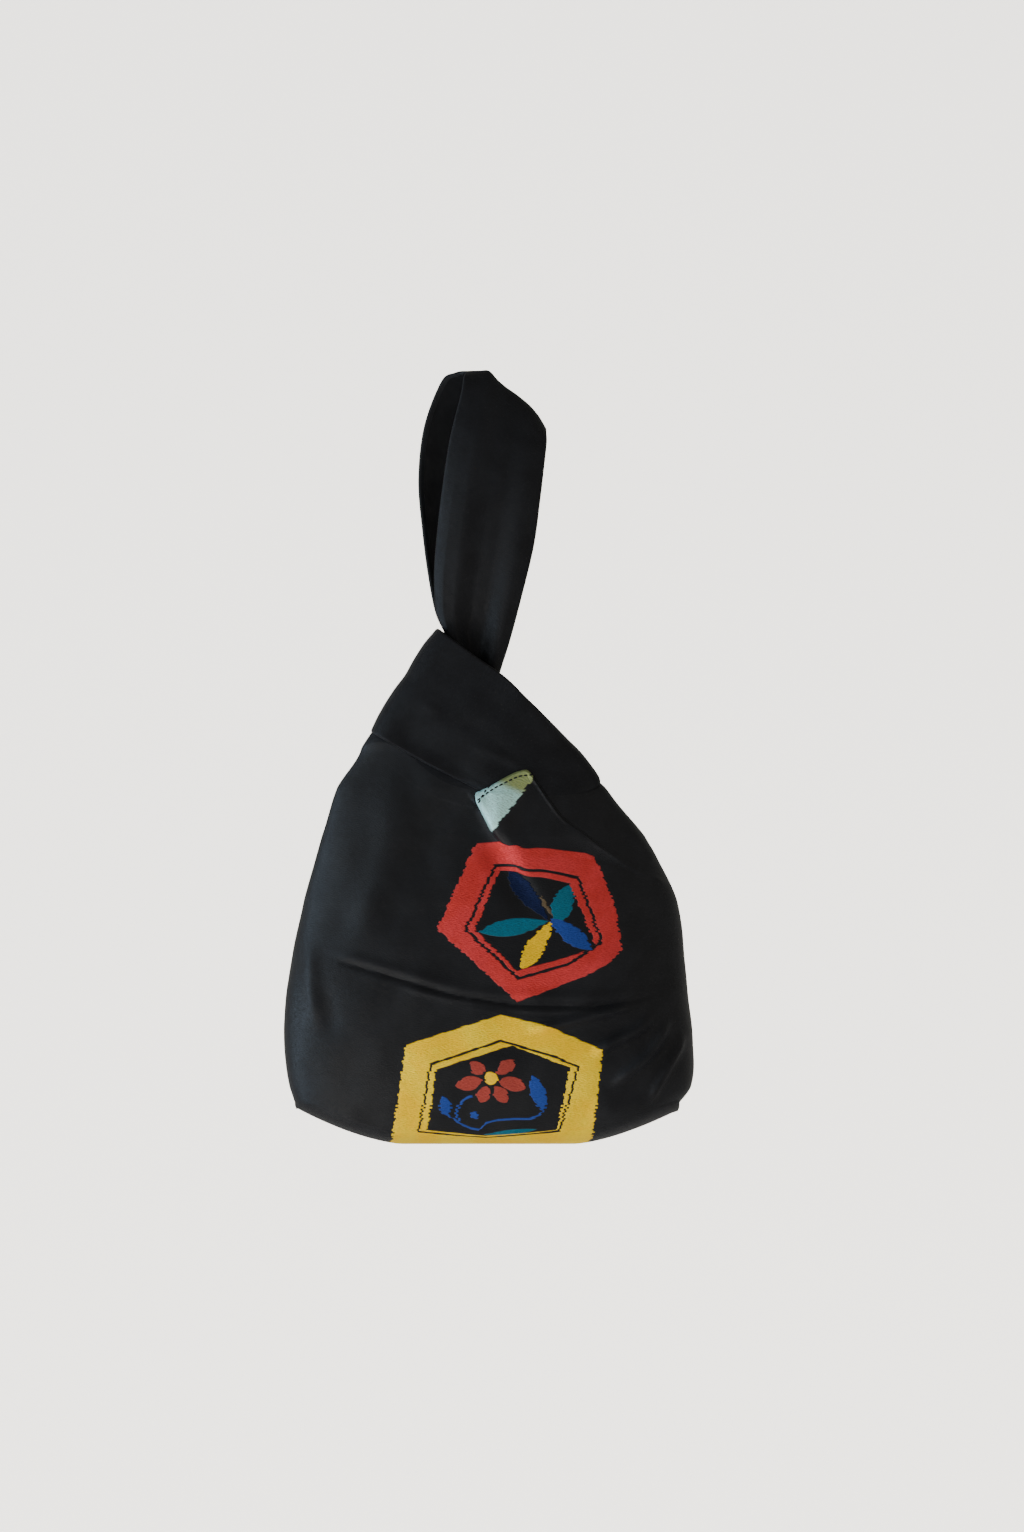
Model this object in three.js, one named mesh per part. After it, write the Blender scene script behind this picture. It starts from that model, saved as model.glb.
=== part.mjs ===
// A one-handle knot bag sewn of black satin sash cloth with a soft interlining and a lining.
// A boxed pouch has a long handle loop rising from its left and a short keeper loop rising from
// its right. The keeper crosses the front, folds round the foot of the handle and returns behind,
// which closes the mouth.
// Millimetres, +Z up, the front faces -Y. Heights below are measured from the underside of the
// base. The finished group is then lowered so that its origin is the inside top of the handle
// loop, the place where a hook carries the bag.

import * as THREE from 'three';

// Cloth layers, from the outside in, and the gap that separate pieces keep
const clothThickness = 1.1;
const interliningThickness = 1.1;
const liningThickness = 0.8;
const pieceGap = 0.3;
const totalThickness = clothThickness + interliningThickness + liningThickness + 2 * pieceGap;

// Pouch: widest width, deepest depth and the height of its left shoulder
const pouchWidth = 253;
const pouchDepth = 100;
const shoulderHeight = 243;

// Pouch outline from the base up. Heights are shares of the shoulder height, edges and half
// depths are shares of half the width and half the depth. Squareness shapes the plan section.
const pouchOutline = [
  { height: 0.025, left: -0.893, right: 0.885, halfDepth: 0.9, squareness: 4.2 },
  { height: 0.107, left: -0.957, right: 0.949, halfDepth: 0.96, squareness: 4.0 },
  { height: 0.247, left: -1, right: 1, halfDepth: 1, squareness: 3.4 },
  { height: 0.412, left: -0.98, right: 0.968, halfDepth: 0.92, squareness: 3.0 },
  { height: 0.617, left: -0.905, right: 0.925, halfDepth: 0.72, squareness: 2.6 },
  { height: 0.782, left: -0.818, right: 0.767, halfDepth: 0.52, squareness: 2.4 },
  { height: 0.905, left: -0.747, right: 0.581, halfDepth: 0.37, squareness: 2.2 },
  { height: 1, left: -0.632, right: 0.522, halfDepth: 0.3, squareness: 2.2 },
];
const pouchColumns = 16;
const pouchRows = 7;

// Mouth edge, from the left side seam round the front to the right side seam
const mouthOutline = [0.9975, 1.0144, 0.899, 0.889, 0.928];

// Base: a flat middle, ends that sag upwards, and a rounded edge below the walls
const baseFlatHalfLength = 53;
const baseEndRise = 24.6;
const baseEndCurve = 1.5;
const baseEdgeLift = 6;
const baseFlatShare = 0.62;
const baseRoundShare = 0.8;
const baseRoundLift = 1.1;

// Foot of the handle: the slanting line that the handle folds about, and its rounded end
const footX = -10.3;
const footRise = 60;
const footSlant = THREE.MathUtils.degToRad(36.6);
const footWidth = 44;
const footRadius = 4;

// Handle loop: the crown's rise above the foot, the strap's width, how far its legs stand from
// the middle plane, how far its middle is cupped outwards, and the lift of the crown's middle
const handleRise = 174.6;
const strapWidth = 75;
const legSpread = 12.5;
const strapCup = 5.5;
const crownLift = 14;
const crownReach = 0.17;

// Stations up the front leg and down the back leg. Edges are measured from the middle of the
// foot, across in strap widths and up in shares of the rise. Spread and cup are shares too.
const frontLeg = [
  { left: [-0.243, 0.16], right: [0.324, 0.034], spread: 0.4, cup: 0.07 },
  { left: [-0.316, 0.275], right: [0.424, 0.183], spread: 0.64, cup: 0.55 },
  { left: [-0.297, 0.43], right: [0.531, 0.372], spread: 0.88, cup: 0.91 },
  { left: [-0.247, 0.596], right: [0.591, 0.533], spread: 1, cup: 1 },
  { left: [-0.183, 0.762], right: [0.617, 0.664], spread: 0.96, cup: 0.73 },
  { left: [-0.116, 0.911], right: [0.631, 0.745], spread: 0.76, cup: 0.27 },
  { left: [-0.084, 0.976], right: [0.631, 0.777], spread: 0.46, cup: 0.05 },
];
const crown = { left: [-0.083, 1], right: [0.625, 0.79] };
const backLeg = [
  { left: [-0.129, 0.985], right: [0.617, 0.773], spread: 0.46, cup: 0.05 },
  { left: [-0.249, 0.939], right: [0.604, 0.733], spread: 0.76, cup: 0.27 },
  { left: [-0.383, 0.819], right: [0.577, 0.641], spread: 0.96, cup: 0.73 },
  { left: [-0.444, 0.624], right: [0.531, 0.504], spread: 1, cup: 1 },
  { left: [-0.423, 0.43], right: [0.464, 0.338], spread: 0.88, cup: 0.91 },
  { left: [-0.369, 0.275], right: [0.377, 0.16], spread: 0.64, cup: 0.55 },
  { left: [-0.249, 0.16], right: [0.304, 0.023], spread: 0.4, cup: 0.07 },
];
const strapColumns = 5;

// Keeper: where its fold lies past the pouch's left shoulder and past the foot of the handle,
// how clear it stands of what it wraps, the nose of its fold and the bulge of its upper edge
const foldPastShoulder = { across: 7, up: 11.8 };
const foldPastFoot = 5.1;
const foldBelowFoot = 3.3;
const keeperClearance = 1.1;
const keeperSwingRoom = 12.8;
const keeperNose = 17;
const keeperNoseSquareness = 3;
const keeperNoseStart = 0.76;
const keeperRampLow = 0.2;
const keeperRampHigh = 0.42;
const keeperTopBulge = 4.5;
const keeperFirstColumn = 9;
const keeperLastColumn = 15;
const keeperPath = [0, 0.1, 0.22, 0.36, 0.5, 0.64, keeperNoseStart, 0.85, 0.92, 0.97, 1];

// Yoke: the foot of the long strap, between the mouth edge and the foot of the handle
const yokeFirstColumn = 3;
const yokeLastColumn = 8;
const yokeRows = 5;
const yokeEase = 0.2;

// Pinched pleat at the neckline, measured from the start of the keeper's lower edge, with its
// line of topstitching
const pleatLeft = { across: -16, up: -1.5 };
const pleatRight = { across: 21, up: 12.5 };
const pleatTip = { across: -5, up: -23.5 };
const pleatTail = { across: 33, up: -12.5 };
const pleatThickness = 2.6;
const pleatBow = 2.2;
const pleatOverWall = 1.2;
const pleatOverKeeper = 5.5;
const pleatDivisions = 5;
const stitchInset = 0.13;
const stitchWidth = 0.05;
const stitchThickness = 0.5;

// Hanging point: its place across the strap, and its clearance under the lining at the crown
const hookShare = 0.2;
const hookClearance = 0.4;

const sideFront = -1;
const sideBack = 1;

const finish = {
  cloth: { color: 0x17191c, roughness: 0.42, metalness: 0 },
  interlining: { color: 0xdad5c8, roughness: 0.95, metalness: 0 },
  lining: { color: 0x101114, roughness: 0.7, metalness: 0 },
  patch: { color: 0xafcdbe, roughness: 0.5, metalness: 0 },
  thread: { color: 0x0c0c0e, roughness: 0.6, metalness: 0 },
};

// Small vector helpers
const vec = (x, y, z) => new THREE.Vector3(x, y, z);
const lerp = THREE.MathUtils.lerp;
const footAlong = vec(Math.cos(footSlant), 0, -Math.sin(footSlant));
const footUp = vec(Math.sin(footSlant), 0, Math.cos(footSlant));

/** Smooth curve through equally spaced values, read at t from 0 to 1. */
function valueCurve(values, t) {
  const points = values.map((value, index) => vec(index, value, 0));
  return new THREE.CatmullRomCurve3(points, false, 'catmullrom').getPoint(t).y;
}

const pouchSections = pouchOutline.map((section) => ({
  height: section.height * shoulderHeight,
  left: section.left * pouchWidth / 2,
  right: section.right * pouchWidth / 2,
  halfDepth: section.halfDepth * pouchDepth / 2,
  squareness: section.squareness,
}));
const mouthHeights = mouthOutline.map((share) => share * shoulderHeight);

/** One field of the pouch sections at a height, eased from each section to the next. */
function pouchValue(field, height) {
  const last = pouchSections.length - 1;
  let k = 0;
  while (k < last - 1 && height > pouchSections[k + 1].height) k += 1;
  const low = pouchSections[k].height;
  const t = THREE.MathUtils.clamp((height - low) / (pouchSections[k + 1].height - low), 0, 1);
  const [start, end] = [pouchSections[k][field], pouchSections[k + 1][field]];
  const startSlope = (end - pouchSections[Math.max(k - 1, 0)][field]) / 2;
  const endSlope = (pouchSections[Math.min(k + 2, last)][field] - start) / 2;
  const ease = t * t * (3 - 2 * t);
  return lerp(start, end, ease) + startSlope * t * (1 - t) ** 2 + endSlope * t * t * (t - 1);
}

/** Height of the underside of the base at x: flat in the middle, rising to its ends. */
function baseHeight(x) {
  const past = Math.max(Math.abs(x) - baseFlatHalfLength, 0) / (pouchWidth / 2 - baseFlatHalfLength);
  return baseEndRise * past ** baseEndCurve;
}

/** Point of the pouch's outside on a side, from the left seam (u 0) to the right (u 1). */
function wallPoint(side, u, v) {
  const turn = Math.PI * (1 - u);
  const planX = (height) => {
    const centre = (pouchValue('left', height) + pouchValue('right', height)) / 2;
    const half = (pouchValue('right', height) - pouchValue('left', height)) / 2;
    const power = 2 / pouchValue('squareness', height);
    return centre + half * Math.sign(Math.cos(turn)) * Math.abs(Math.cos(turn)) ** power;
  };
  const rim = baseHeight(planX(pouchSections[0].height)) + baseEdgeLift;
  const height = lerp(rim, valueCurve(mouthHeights, u), v);
  const depth = pouchValue('halfDepth', height);
  const bow = Math.abs(Math.sin(turn)) ** (2 / pouchValue('squareness', height));
  return vec(planX(height), side * Math.max(depth * bow, pieceGap / 2), height);
}

/** Outward normal of a surface given as a function of two values from 0 to 1. */
function surfaceNormal(surface, side, u, v) {
  const step = 1e-3;
  const clamp = (t) => THREE.MathUtils.clamp(t, 0, 1);
  const across = surface(clamp(u + step), v).sub(surface(clamp(u - step), v));
  const along = surface(u, clamp(v + step)).sub(surface(u, clamp(v - step)));
  return across.cross(along).multiplyScalar(-side).normalize();
}

const wallNormal = (side, u, v) => {
  const normal = surfaceNormal((a, b) => wallPoint(side, a, b), side, u, v);
  if (u === 0 || u === 1) normal.setY(0).normalize();
  return normal;
};

/** Place, outward normal and upward direction on the mouth edge, straight between its columns. */
function mouthPlace(side, column) {
  const place = (whole) => {
    const u = whole / pouchColumns;
    const point = wallPoint(side, u, 1);
    const upward = point.clone().sub(wallPoint(side, u, 0.99)).normalize();
    return { point, normal: wallNormal(side, u, 1), upward };
  };
  const [low, high] = [place(Math.floor(column)), place(Math.ceil(column))];
  const share = column - Math.floor(column);
  return {
    point: low.point.lerp(high.point, share),
    normal: low.normal.lerp(high.normal, share).normalize(),
    upward: low.upward.lerp(high.upward, share).normalize(),
  };
}

/** Rows of places and outward normals over lists of the two surface values. */
function sample(uList, vList, pointAt, normalAt) {
  return vList.map((v) => uList.map((u) => ({ point: pointAt(u, v), normal: normalAt(u, v) })));
}

/** Places moved inwards along their normals by a depth. */
function inset(rows, depth) {
  return rows.map((row) => row.map((spot) => spot.point.clone().addScaledVector(spot.normal, -depth)));
}

/** Closed solid between an outer and an inner grid of places. */
function solidBetween(outer, inner, flipped) {
  const rowCount = outer.length;
  const columnCount = outer[0].length;
  const grid = rowCount * columnCount;
  const positions = [...outer.flat(), ...inner.flat()].flatMap((p) => [p.x, p.y, p.z]);
  const index = [];
  const quad = (a, b, c, d) => {
    if (flipped) index.push(a, c, b, a, d, c);
    else index.push(a, b, c, a, c, d);
  };
  const at = (j, i, layer) => layer * grid + j * columnCount + i;
  for (let j = 0; j < rowCount - 1; j += 1) {
    for (let i = 0; i < columnCount - 1; i += 1) {
      quad(at(j, i, 0), at(j, i + 1, 0), at(j + 1, i + 1, 0), at(j + 1, i, 0));
    }
  }
  // The inside uses the same diagonals, so that neighbouring layers stay parallel.
  for (let j = 0; j < rowCount - 1; j += 1) {
    for (let i = 0; i < columnCount - 1; i += 1) {
      const [a, b, c, d] = [at(j, i, 1), at(j, i + 1, 1), at(j + 1, i + 1, 1), at(j + 1, i, 1)];
      if (flipped) index.push(a, b, c, a, c, d);
      else index.push(a, c, b, a, d, c);
    }
  }
  const lastRow = rowCount - 1;
  const lastColumn = columnCount - 1;
  for (let i = 0; i < lastColumn; i += 1) {
    quad(at(0, i, 1), at(0, i + 1, 1), at(0, i + 1, 0), at(0, i, 0));
    quad(at(lastRow, i, 0), at(lastRow, i + 1, 0), at(lastRow, i + 1, 1), at(lastRow, i, 1));
  }
  for (let j = 0; j < lastRow; j += 1) {
    quad(at(j, 0, 1), at(j, 0, 0), at(j + 1, 0, 0), at(j + 1, 0, 1));
    quad(at(j, lastColumn, 0), at(j, lastColumn, 1), at(j + 1, lastColumn, 1), at(j + 1, lastColumn, 0));
  }
  const geometry = new THREE.BufferGeometry();
  geometry.setAttribute('position', new THREE.Float32BufferAttribute(positions, 3));
  geometry.setIndex(index);
  geometry.computeVertexNormals();
  return geometry;
}

/** Named mesh with one of the finishes. */
function piece(name, geometry, look) {
  const mesh = new THREE.Mesh(geometry, new THREE.MeshStandardMaterial(finish[look]));
  mesh.name = name;
  return mesh;
}

const interliningDepth = clothThickness + pieceGap;
const liningDepth = interliningDepth + interliningThickness + pieceGap;

/** Interlining and lining under a sheet of cloth, as two meshes. */
function innerLayers(name, rows, flipped) {
  const interlining = solidBetween(
    inset(rows, interliningDepth), inset(rows, interliningDepth + interliningThickness), flipped);
  const lining = solidBetween(inset(rows, liningDepth), inset(rows, totalThickness), flipped);
  return [
    piece(`${name}_interlining`, interlining, 'interlining'),
    piece(`${name}_lining`, lining, 'lining'),
  ];
}

/** Cloth, interlining and lining that follow one sampled sheet. */
function layeredSheet(name, rows, flipped) {
  const cloth = solidBetween(inset(rows, 0), inset(rows, clothThickness), flipped);
  return [piece(`${name}_cloth`, cloth, 'cloth'), ...innerLayers(name, rows, flipped)];
}

const steps = (count) => Array.from({ length: count + 1 }, (_, k) => k / count);

// Pouch walls. The rim row leans at half a right angle, so that wall and base meet in a mitre.
const mitreShift = pieceGap / Math.SQRT2;

function rimNormal(side, u) {
  const outward = wallNormal(side, u, 0);
  return vec(outward.x, outward.y, 0).normalize().add(vec(0, 0, -1)).normalize();
}

function pouchWall(side, name) {
  const pointAt = (u, v) => {
    const point = wallPoint(side, u, v);
    return v === 0 ? point.add(vec(0, 0, mitreShift)) : point;
  };
  const normalAt = (u, v) => (v === 0 ? rimNormal(side, u) : wallNormal(side, u, v));
  const rows = sample(steps(pouchColumns), steps(pouchRows), pointAt, normalAt);
  return layeredSheet(name, rows, side === sideBack);
}

// Base: columns run from the front rim to the back rim.
const baseShares = [-1, -baseRoundShare, -baseFlatShare, 0, baseFlatShare, baseRoundShare, 1];

function basePoint(column, share) {
  const side = share < 0 ? sideFront : sideBack;
  const rim = wallPoint(side, column / pouchColumns, 0);
  const outward = rimNormal(side, column / pouchColumns).setZ(0).normalize();
  rim.addScaledVector(outward, -mitreShift);
  if (Math.abs(share) === 1) return rim;
  const lift = Math.abs(share) === baseRoundShare ? baseRoundLift : 0;
  return vec(rim.x, Math.abs(share) * rim.y, baseHeight(rim.x) + lift);
}

function pouchBase() {
  const columns = Array.from({ length: pouchColumns - 1 }, (_, k) => k + 1);
  const normalAt = (column, share) => {
    if (Math.abs(share) === 1) return rimNormal(Math.sign(share), column / pouchColumns);
    const ahead = basePoint(Math.min(column + 1, pouchColumns - 1), share);
    const behind = basePoint(Math.max(column - 1, 1), share);
    const slope = ahead.sub(behind).setY(0).normalize();
    return vec(slope.z, 0, -slope.x).normalize();
  };
  const rows = sample(columns, baseShares, basePoint, normalAt);
  return layeredSheet('base', rows, true);
}

// Yokes: the foot of the long strap, from the mouth edge up to the foot of the handle
const footHeight = shoulderHeight + footRise;
const footPoint = (share, side, drop) => vec(footX, side * footRadius, footHeight)
  .addScaledVector(footAlong, (share - 0.5) * footWidth)
  .addScaledVector(footUp, -drop);

function yokePoint(side, column, t) {
  const { point, upward } = mouthPlace(side, column);
  const start = point.addScaledVector(upward, pieceGap);
  const share = (column - yokeFirstColumn) / (yokeLastColumn - yokeFirstColumn);
  const end = footPoint(share, side, footRadius + pieceGap);
  const reach = yokeEase * start.distanceTo(end);
  const [t2, t3] = [t * t, t * t * t];
  return start.clone().multiplyScalar(1 - 3 * t2 + 2 * t3)
    .addScaledVector(upward, reach * (t - 2 * t2 + t3))
    .addScaledVector(end, 3 * t2 - 2 * t3)
    .addScaledVector(footUp, reach * (t3 - t2));
}

function yoke(side, name) {
  const width = yokeLastColumn - yokeFirstColumn;
  const pointAt = (s, t) => yokePoint(side, yokeFirstColumn + s * width, t);
  const normalAt = (s, t) => {
    if (t === 0) return mouthPlace(side, yokeFirstColumn + s * width).normal;
    if (t === 1) return vec(0, side, 0);
    return surfaceNormal(pointAt, side, s, t);
  };
  const columns = Array.from({ length: Math.ceil(width) }, (_, k) => k / width);
  const rows = sample([...columns, 1], steps(yokeRows), pointAt, normalAt);
  return layeredSheet(name, rows, side === sideBack);
}

// Handle loop. Its edges run through the stations, and v counts them from the front foot.
const footStation = { spread: footRadius / legSpread, cup: 0 };
const stationSide = (side) => (station) => ({ ...station, side });
const stations = [
  ...[footStation, ...frontLeg].map(stationSide(sideFront)),
  { ...crown, spread: 0, cup: 0, side: 0 },
  ...[...backLeg, footStation].map(stationSide(sideBack)),
];
const crownStation = frontLeg.length + 1;

/** Curve through one edge of the strap, from the front foot over the crown to the back foot. */
function edgeCurve(edge, footShare) {
  const places = stations.map((station) => {
    const y = station.side * station.spread * legSpread;
    if (!station[edge]) return footPoint(footShare, 0, 0).setY(y);
    const [across, up] = station[edge];
    return vec(footX + across * strapWidth, y, footHeight + up * handleRise);
  });
  return new THREE.CatmullRomCurve3(places, false, 'catmullrom');
}
const leftEdge = edgeCurve('left', 0);
const rightEdge = edgeCurve('right', 1);

function handlePoint(u, v) {
  const point = leftEdge.getPoint(v).lerp(rightEdge.getPoint(v), u);
  const k = v * (stations.length - 1);
  const [before, after] = [stations[Math.floor(k)], stations[Math.min(Math.ceil(k), stations.length - 1)]];
  const cup = strapCup * lerp(before.side * before.cup, after.side * after.cup, k - Math.floor(k));
  const bow = Math.sin(Math.PI * u);
  const nearCrown = Math.exp(-((2 * (v - 0.5) / crownReach) ** 2));
  return point.add(vec(0, cup * bow, crownLift * bow * nearCrown));
}

function handleLeg(side, name) {
  const stationCount = stations.length - 1;
  const probe = 0.5 / stationCount;
  const pace = (v) => leftEdge.getPoint(v).distanceTo(leftEdge.getPoint(v + probe)) / probe;
  const endRise = 2 * pieceGap / pace(0);
  const crownEnd = 0.5 - pieceGap / 2 / pace(0.5);
  const fromFoot = Array.from({ length: crownStation - 1 }, (_, k) => (k + 1) / stationCount);
  const upList = [endRise, ...fromFoot, crownEnd];
  const pointAt = (u, t) => handlePoint(u, side === sideFront ? t : 1 - t);
  const normalAt = (u, t) => {
    if (t === endRise) return vec(0, side, 0);
    if (t === crownEnd) return surfaceNormal(handlePoint, sideFront, u, 0.5);
    return surfaceNormal(pointAt, side, u, t);
  };
  const rows = sample(steps(strapColumns), upList, pointAt, normalAt);
  const flipped = side === sideBack;

  // The cloth is turned in at the foot: a quarter round about the line that the handle folds on.
  const middle = side * pieceGap / 2;
  const turnedEnd = Math.acos((clothThickness + pieceGap) / footRadius);
  const turns = [1, 0.66, 0.33, 0].map((share) => share * turnedEnd);
  const outerEnd = turns.map((turn) => steps(strapColumns).map(
    (u) => footPoint(u, side * Math.cos(turn), footRadius * Math.sin(turn))));
  const innerEnd = turns.map((turn) => steps(strapColumns).map(
    (u) => footPoint(u, 0, footRadius * Math.sin(turn)).setY(middle)));
  const lip = (depth) => steps(strapColumns).map((u) => footPoint(u, side, -pieceGap).setY(
    side * (footRadius - depth)));
  const outer = [...outerEnd, lip(0), ...inset(rows.slice(1), 0)];
  const inner = [...innerEnd, lip(clothThickness), ...inset(rows.slice(1), clothThickness)];
  return [
    piece(`${name}_cloth`, solidBetween(outer, inner, flipped), 'cloth'),
    ...innerLayers(name, rows, flipped),
  ];
}

// Keeper: p runs from the mouth edge to the fold, q from the lower edge to the upper edge.
const keeperColumns = keeperLastColumn - keeperFirstColumn;
const shoulder = wallPoint(sideFront, 0, 1);
const foldLow = vec(shoulder.x + foldPastShoulder.across, 0, shoulder.z + foldPastShoulder.up);
const foldHigh = footPoint(0, 0, foldBelowFoot).addScaledVector(footAlong, -foldPastFoot);
const mouthMiddle = mouthPlace(sideFront, yokeLastColumn).point;
const standLow = Math.abs(mouthMiddle.y) + totalThickness + keeperClearance;
const standHigh = footRadius + totalThickness + keeperSwingRoom;

function keeperPoint(side, p, q) {
  const { point, upward } = mouthPlace(side, lerp(keeperFirstColumn, keeperLastColumn, q));
  const start = point.addScaledVector(upward, pieceGap);
  const fold = foldLow.clone().lerp(foldHigh, q);
  const noseShare = 1 - keeperNose / Math.hypot(fold.x - start.x, fold.z - start.z);
  const stand = lerp(standLow, standHigh, q);
  const ramp = THREE.MathUtils.smoothstep(p, 0, lerp(keeperRampLow, keeperRampHigh, q));
  let share = (p / keeperNoseStart) * noseShare;
  let out = lerp(Math.abs(start.y), stand, ramp);
  if (p > keeperNoseStart) {
    const turn = ((p - keeperNoseStart) / (1 - keeperNoseStart)) * Math.PI / 2;
    share = noseShare + (1 - noseShare) * Math.sin(turn) ** (2 / keeperNoseSquareness);
    out = stand * Math.cos(turn) ** (2 / keeperNoseSquareness);
  }
  const bulge = keeperTopBulge * q * 4 * share * (1 - share);
  return vec(lerp(start.x, fold.x, share), side * Math.max(out, pieceGap / 2), lerp(start.z, fold.z, share))
    .addScaledVector(footUp, bulge);
}

function keeperBand(side, name) {
  const normalAt = (q, p) => {
    if (p === 0) return mouthPlace(side, lerp(keeperFirstColumn, keeperLastColumn, q)).normal;
    const normal = surfaceNormal((a, b) => keeperPoint(side, b, a), side, q, p);
    if (p === 1) normal.setY(0).normalize();
    return normal;
  };
  const rows = sample(steps(keeperColumns), keeperPath, (q, p) => keeperPoint(side, p, q), normalAt);
  return layeredSheet(name, rows, side === sideBack);
}

// Pleat: a lens of folded cloth in front of the neckline
const necklineStart = mouthPlace(sideFront, keeperFirstColumn).point;

function pleatCorner(spot, extra) {
  const x = necklineStart.x + spot.across;
  const height = necklineStart.z + spot.up;
  const [left, right] = [pouchValue('left', height), pouchValue('right', height)];
  const squareness = pouchValue('squareness', height);
  const share = Math.abs(2 * x - left - right) / (right - left);
  const wallDepth = pouchValue('halfDepth', height) * (1 - share ** squareness) ** (1 / squareness);
  return vec(x, -wallDepth - extra - pleatThickness, height);
}
const pleatCorners = {
  tip: pleatCorner(pleatTip, pleatOverWall),
  tail: pleatCorner(pleatTail, pleatOverWall),
  left: pleatCorner(pleatLeft, pleatOverWall),
  right: pleatCorner(pleatRight, pleatOverKeeper),
};

function pleatPoint(s, t) {
  const low = pleatCorners.tip.clone().lerp(pleatCorners.tail, s);
  const high = pleatCorners.left.clone().lerp(pleatCorners.right, s);
  const bow = pleatBow * Math.sin(Math.PI * s) * Math.sin(Math.PI * t);
  return low.lerp(high, t).add(vec(0, -bow, 0));
}

function pleat() {
  const normalAt = (s, t) => surfaceNormal(pleatPoint, sideFront, s, t);
  const divisions = steps(pleatDivisions);
  const rows = sample(divisions, divisions, pleatPoint, normalAt);
  const body = solidBetween(inset(rows, 0), inset(rows, pleatThickness), false);
  const line = [1 - stitchInset - stitchWidth, 1 - stitchInset];
  const stitchRows = sample(divisions, line, pleatPoint, normalAt);
  const outer = inset(stitchRows, -pieceGap - stitchThickness);
  const stitch = solidBetween(outer, inset(stitchRows, -pieceGap), false);
  return [piece('neckline_pleat', body, 'patch'), piece('pleat_topstitch', stitch, 'thread')];
}

const bag = new THREE.Group();
bag.name = 'one_handle_knot_bag';
const carried = new THREE.Group();
bag.add(carried);
carried.add(
  ...handleLeg(sideFront, 'handle_front'),
  ...handleLeg(sideBack, 'handle_back'),
  ...pouchWall(sideFront, 'pouch_front'),
  ...pouchWall(sideBack, 'pouch_back'),
  ...pouchBase(),
  ...yoke(sideFront, 'yoke_front'),
  ...yoke(sideBack, 'yoke_back'),
  ...keeperBand(sideFront, 'keeper_front'),
  ...keeperBand(sideBack, 'keeper_back'),
  ...pleat(),
);

// The hook sits under the lining at the top of the loop.
const crownTop = handlePoint(hookShare, 0.5);
carried.position.set(-crownTop.x, 0, -(crownTop.z - totalThickness - hookClearance));
bag.updateMatrixWorld(true);

export default bag;
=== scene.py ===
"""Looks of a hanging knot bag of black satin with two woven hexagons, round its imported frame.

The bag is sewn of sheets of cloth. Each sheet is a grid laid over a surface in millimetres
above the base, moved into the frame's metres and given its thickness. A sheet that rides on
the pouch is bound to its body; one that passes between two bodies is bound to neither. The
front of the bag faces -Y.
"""

from __future__ import annotations

import logging
import math
from dataclasses import dataclass, replace
from enum import Enum
from functools import reduce
from typing import Sequence

import bpy
import numpy as np
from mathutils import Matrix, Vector
from mathutils.bvhtree import BVHTree

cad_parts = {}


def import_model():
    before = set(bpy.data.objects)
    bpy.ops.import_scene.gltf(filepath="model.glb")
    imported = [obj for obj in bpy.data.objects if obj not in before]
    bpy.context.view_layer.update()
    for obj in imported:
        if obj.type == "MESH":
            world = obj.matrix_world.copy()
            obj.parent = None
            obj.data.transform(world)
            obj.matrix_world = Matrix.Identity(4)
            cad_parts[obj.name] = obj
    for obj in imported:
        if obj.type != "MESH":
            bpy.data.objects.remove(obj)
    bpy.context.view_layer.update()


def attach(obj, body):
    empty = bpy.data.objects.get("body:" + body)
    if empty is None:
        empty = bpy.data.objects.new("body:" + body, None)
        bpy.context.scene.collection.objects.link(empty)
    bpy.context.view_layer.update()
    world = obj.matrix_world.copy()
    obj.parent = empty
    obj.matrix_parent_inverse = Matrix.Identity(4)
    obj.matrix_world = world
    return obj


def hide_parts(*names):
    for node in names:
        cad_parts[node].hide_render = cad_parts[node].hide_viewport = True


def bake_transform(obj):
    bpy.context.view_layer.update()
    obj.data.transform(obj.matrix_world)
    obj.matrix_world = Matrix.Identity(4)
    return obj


LOG = logging.getLogger("knot_bag")

Array = np.ndarray
Pair = tuple[float, float]
Triple = tuple[float, float, float]
Colour = Triple
Line = tuple[Pair, ...]

MM = 0.001
ROW_SHIFT = np.array([5.905, 0.0, -474.496])
PRINT_MAP = "print_map"
THREAD_MAP = "thread_map"


class Side(Enum):
    """Front or back of the bag, with the sign of its Y."""

    FRONT = -1
    BACK = 1


class FoldKind(Enum):
    """How a fold shapes the cloth beside its line."""

    RIDGE = "ridge"
    GROOVE = "groove"
    STEP = "step"


RIDGE, GROOVE, STEP = FoldKind


class Hold(Enum):
    HUNG = "hung"
    FOLDED = "folded"
    STRETCHED = "stretched"


def to_row(points: Array) -> Array:
    """Points in millimetres above the base, moved to the frame in metres."""
    return (np.asarray(points, float) + ROW_SHIFT) * MM


def smoothstep(x: Array, low: float, high: float) -> Array:
    """Eased step from 0 at low to 1 at high."""
    t = np.clip((np.asarray(x, float) - low) / (high - low), 0.0, 1.0)
    return t * t * (3.0 - 2.0 * t)


def lerp(a: Array, b: Array, t: Array) -> Array:
    """Value between a and b at t."""
    return a + (b - a) * t


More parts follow.
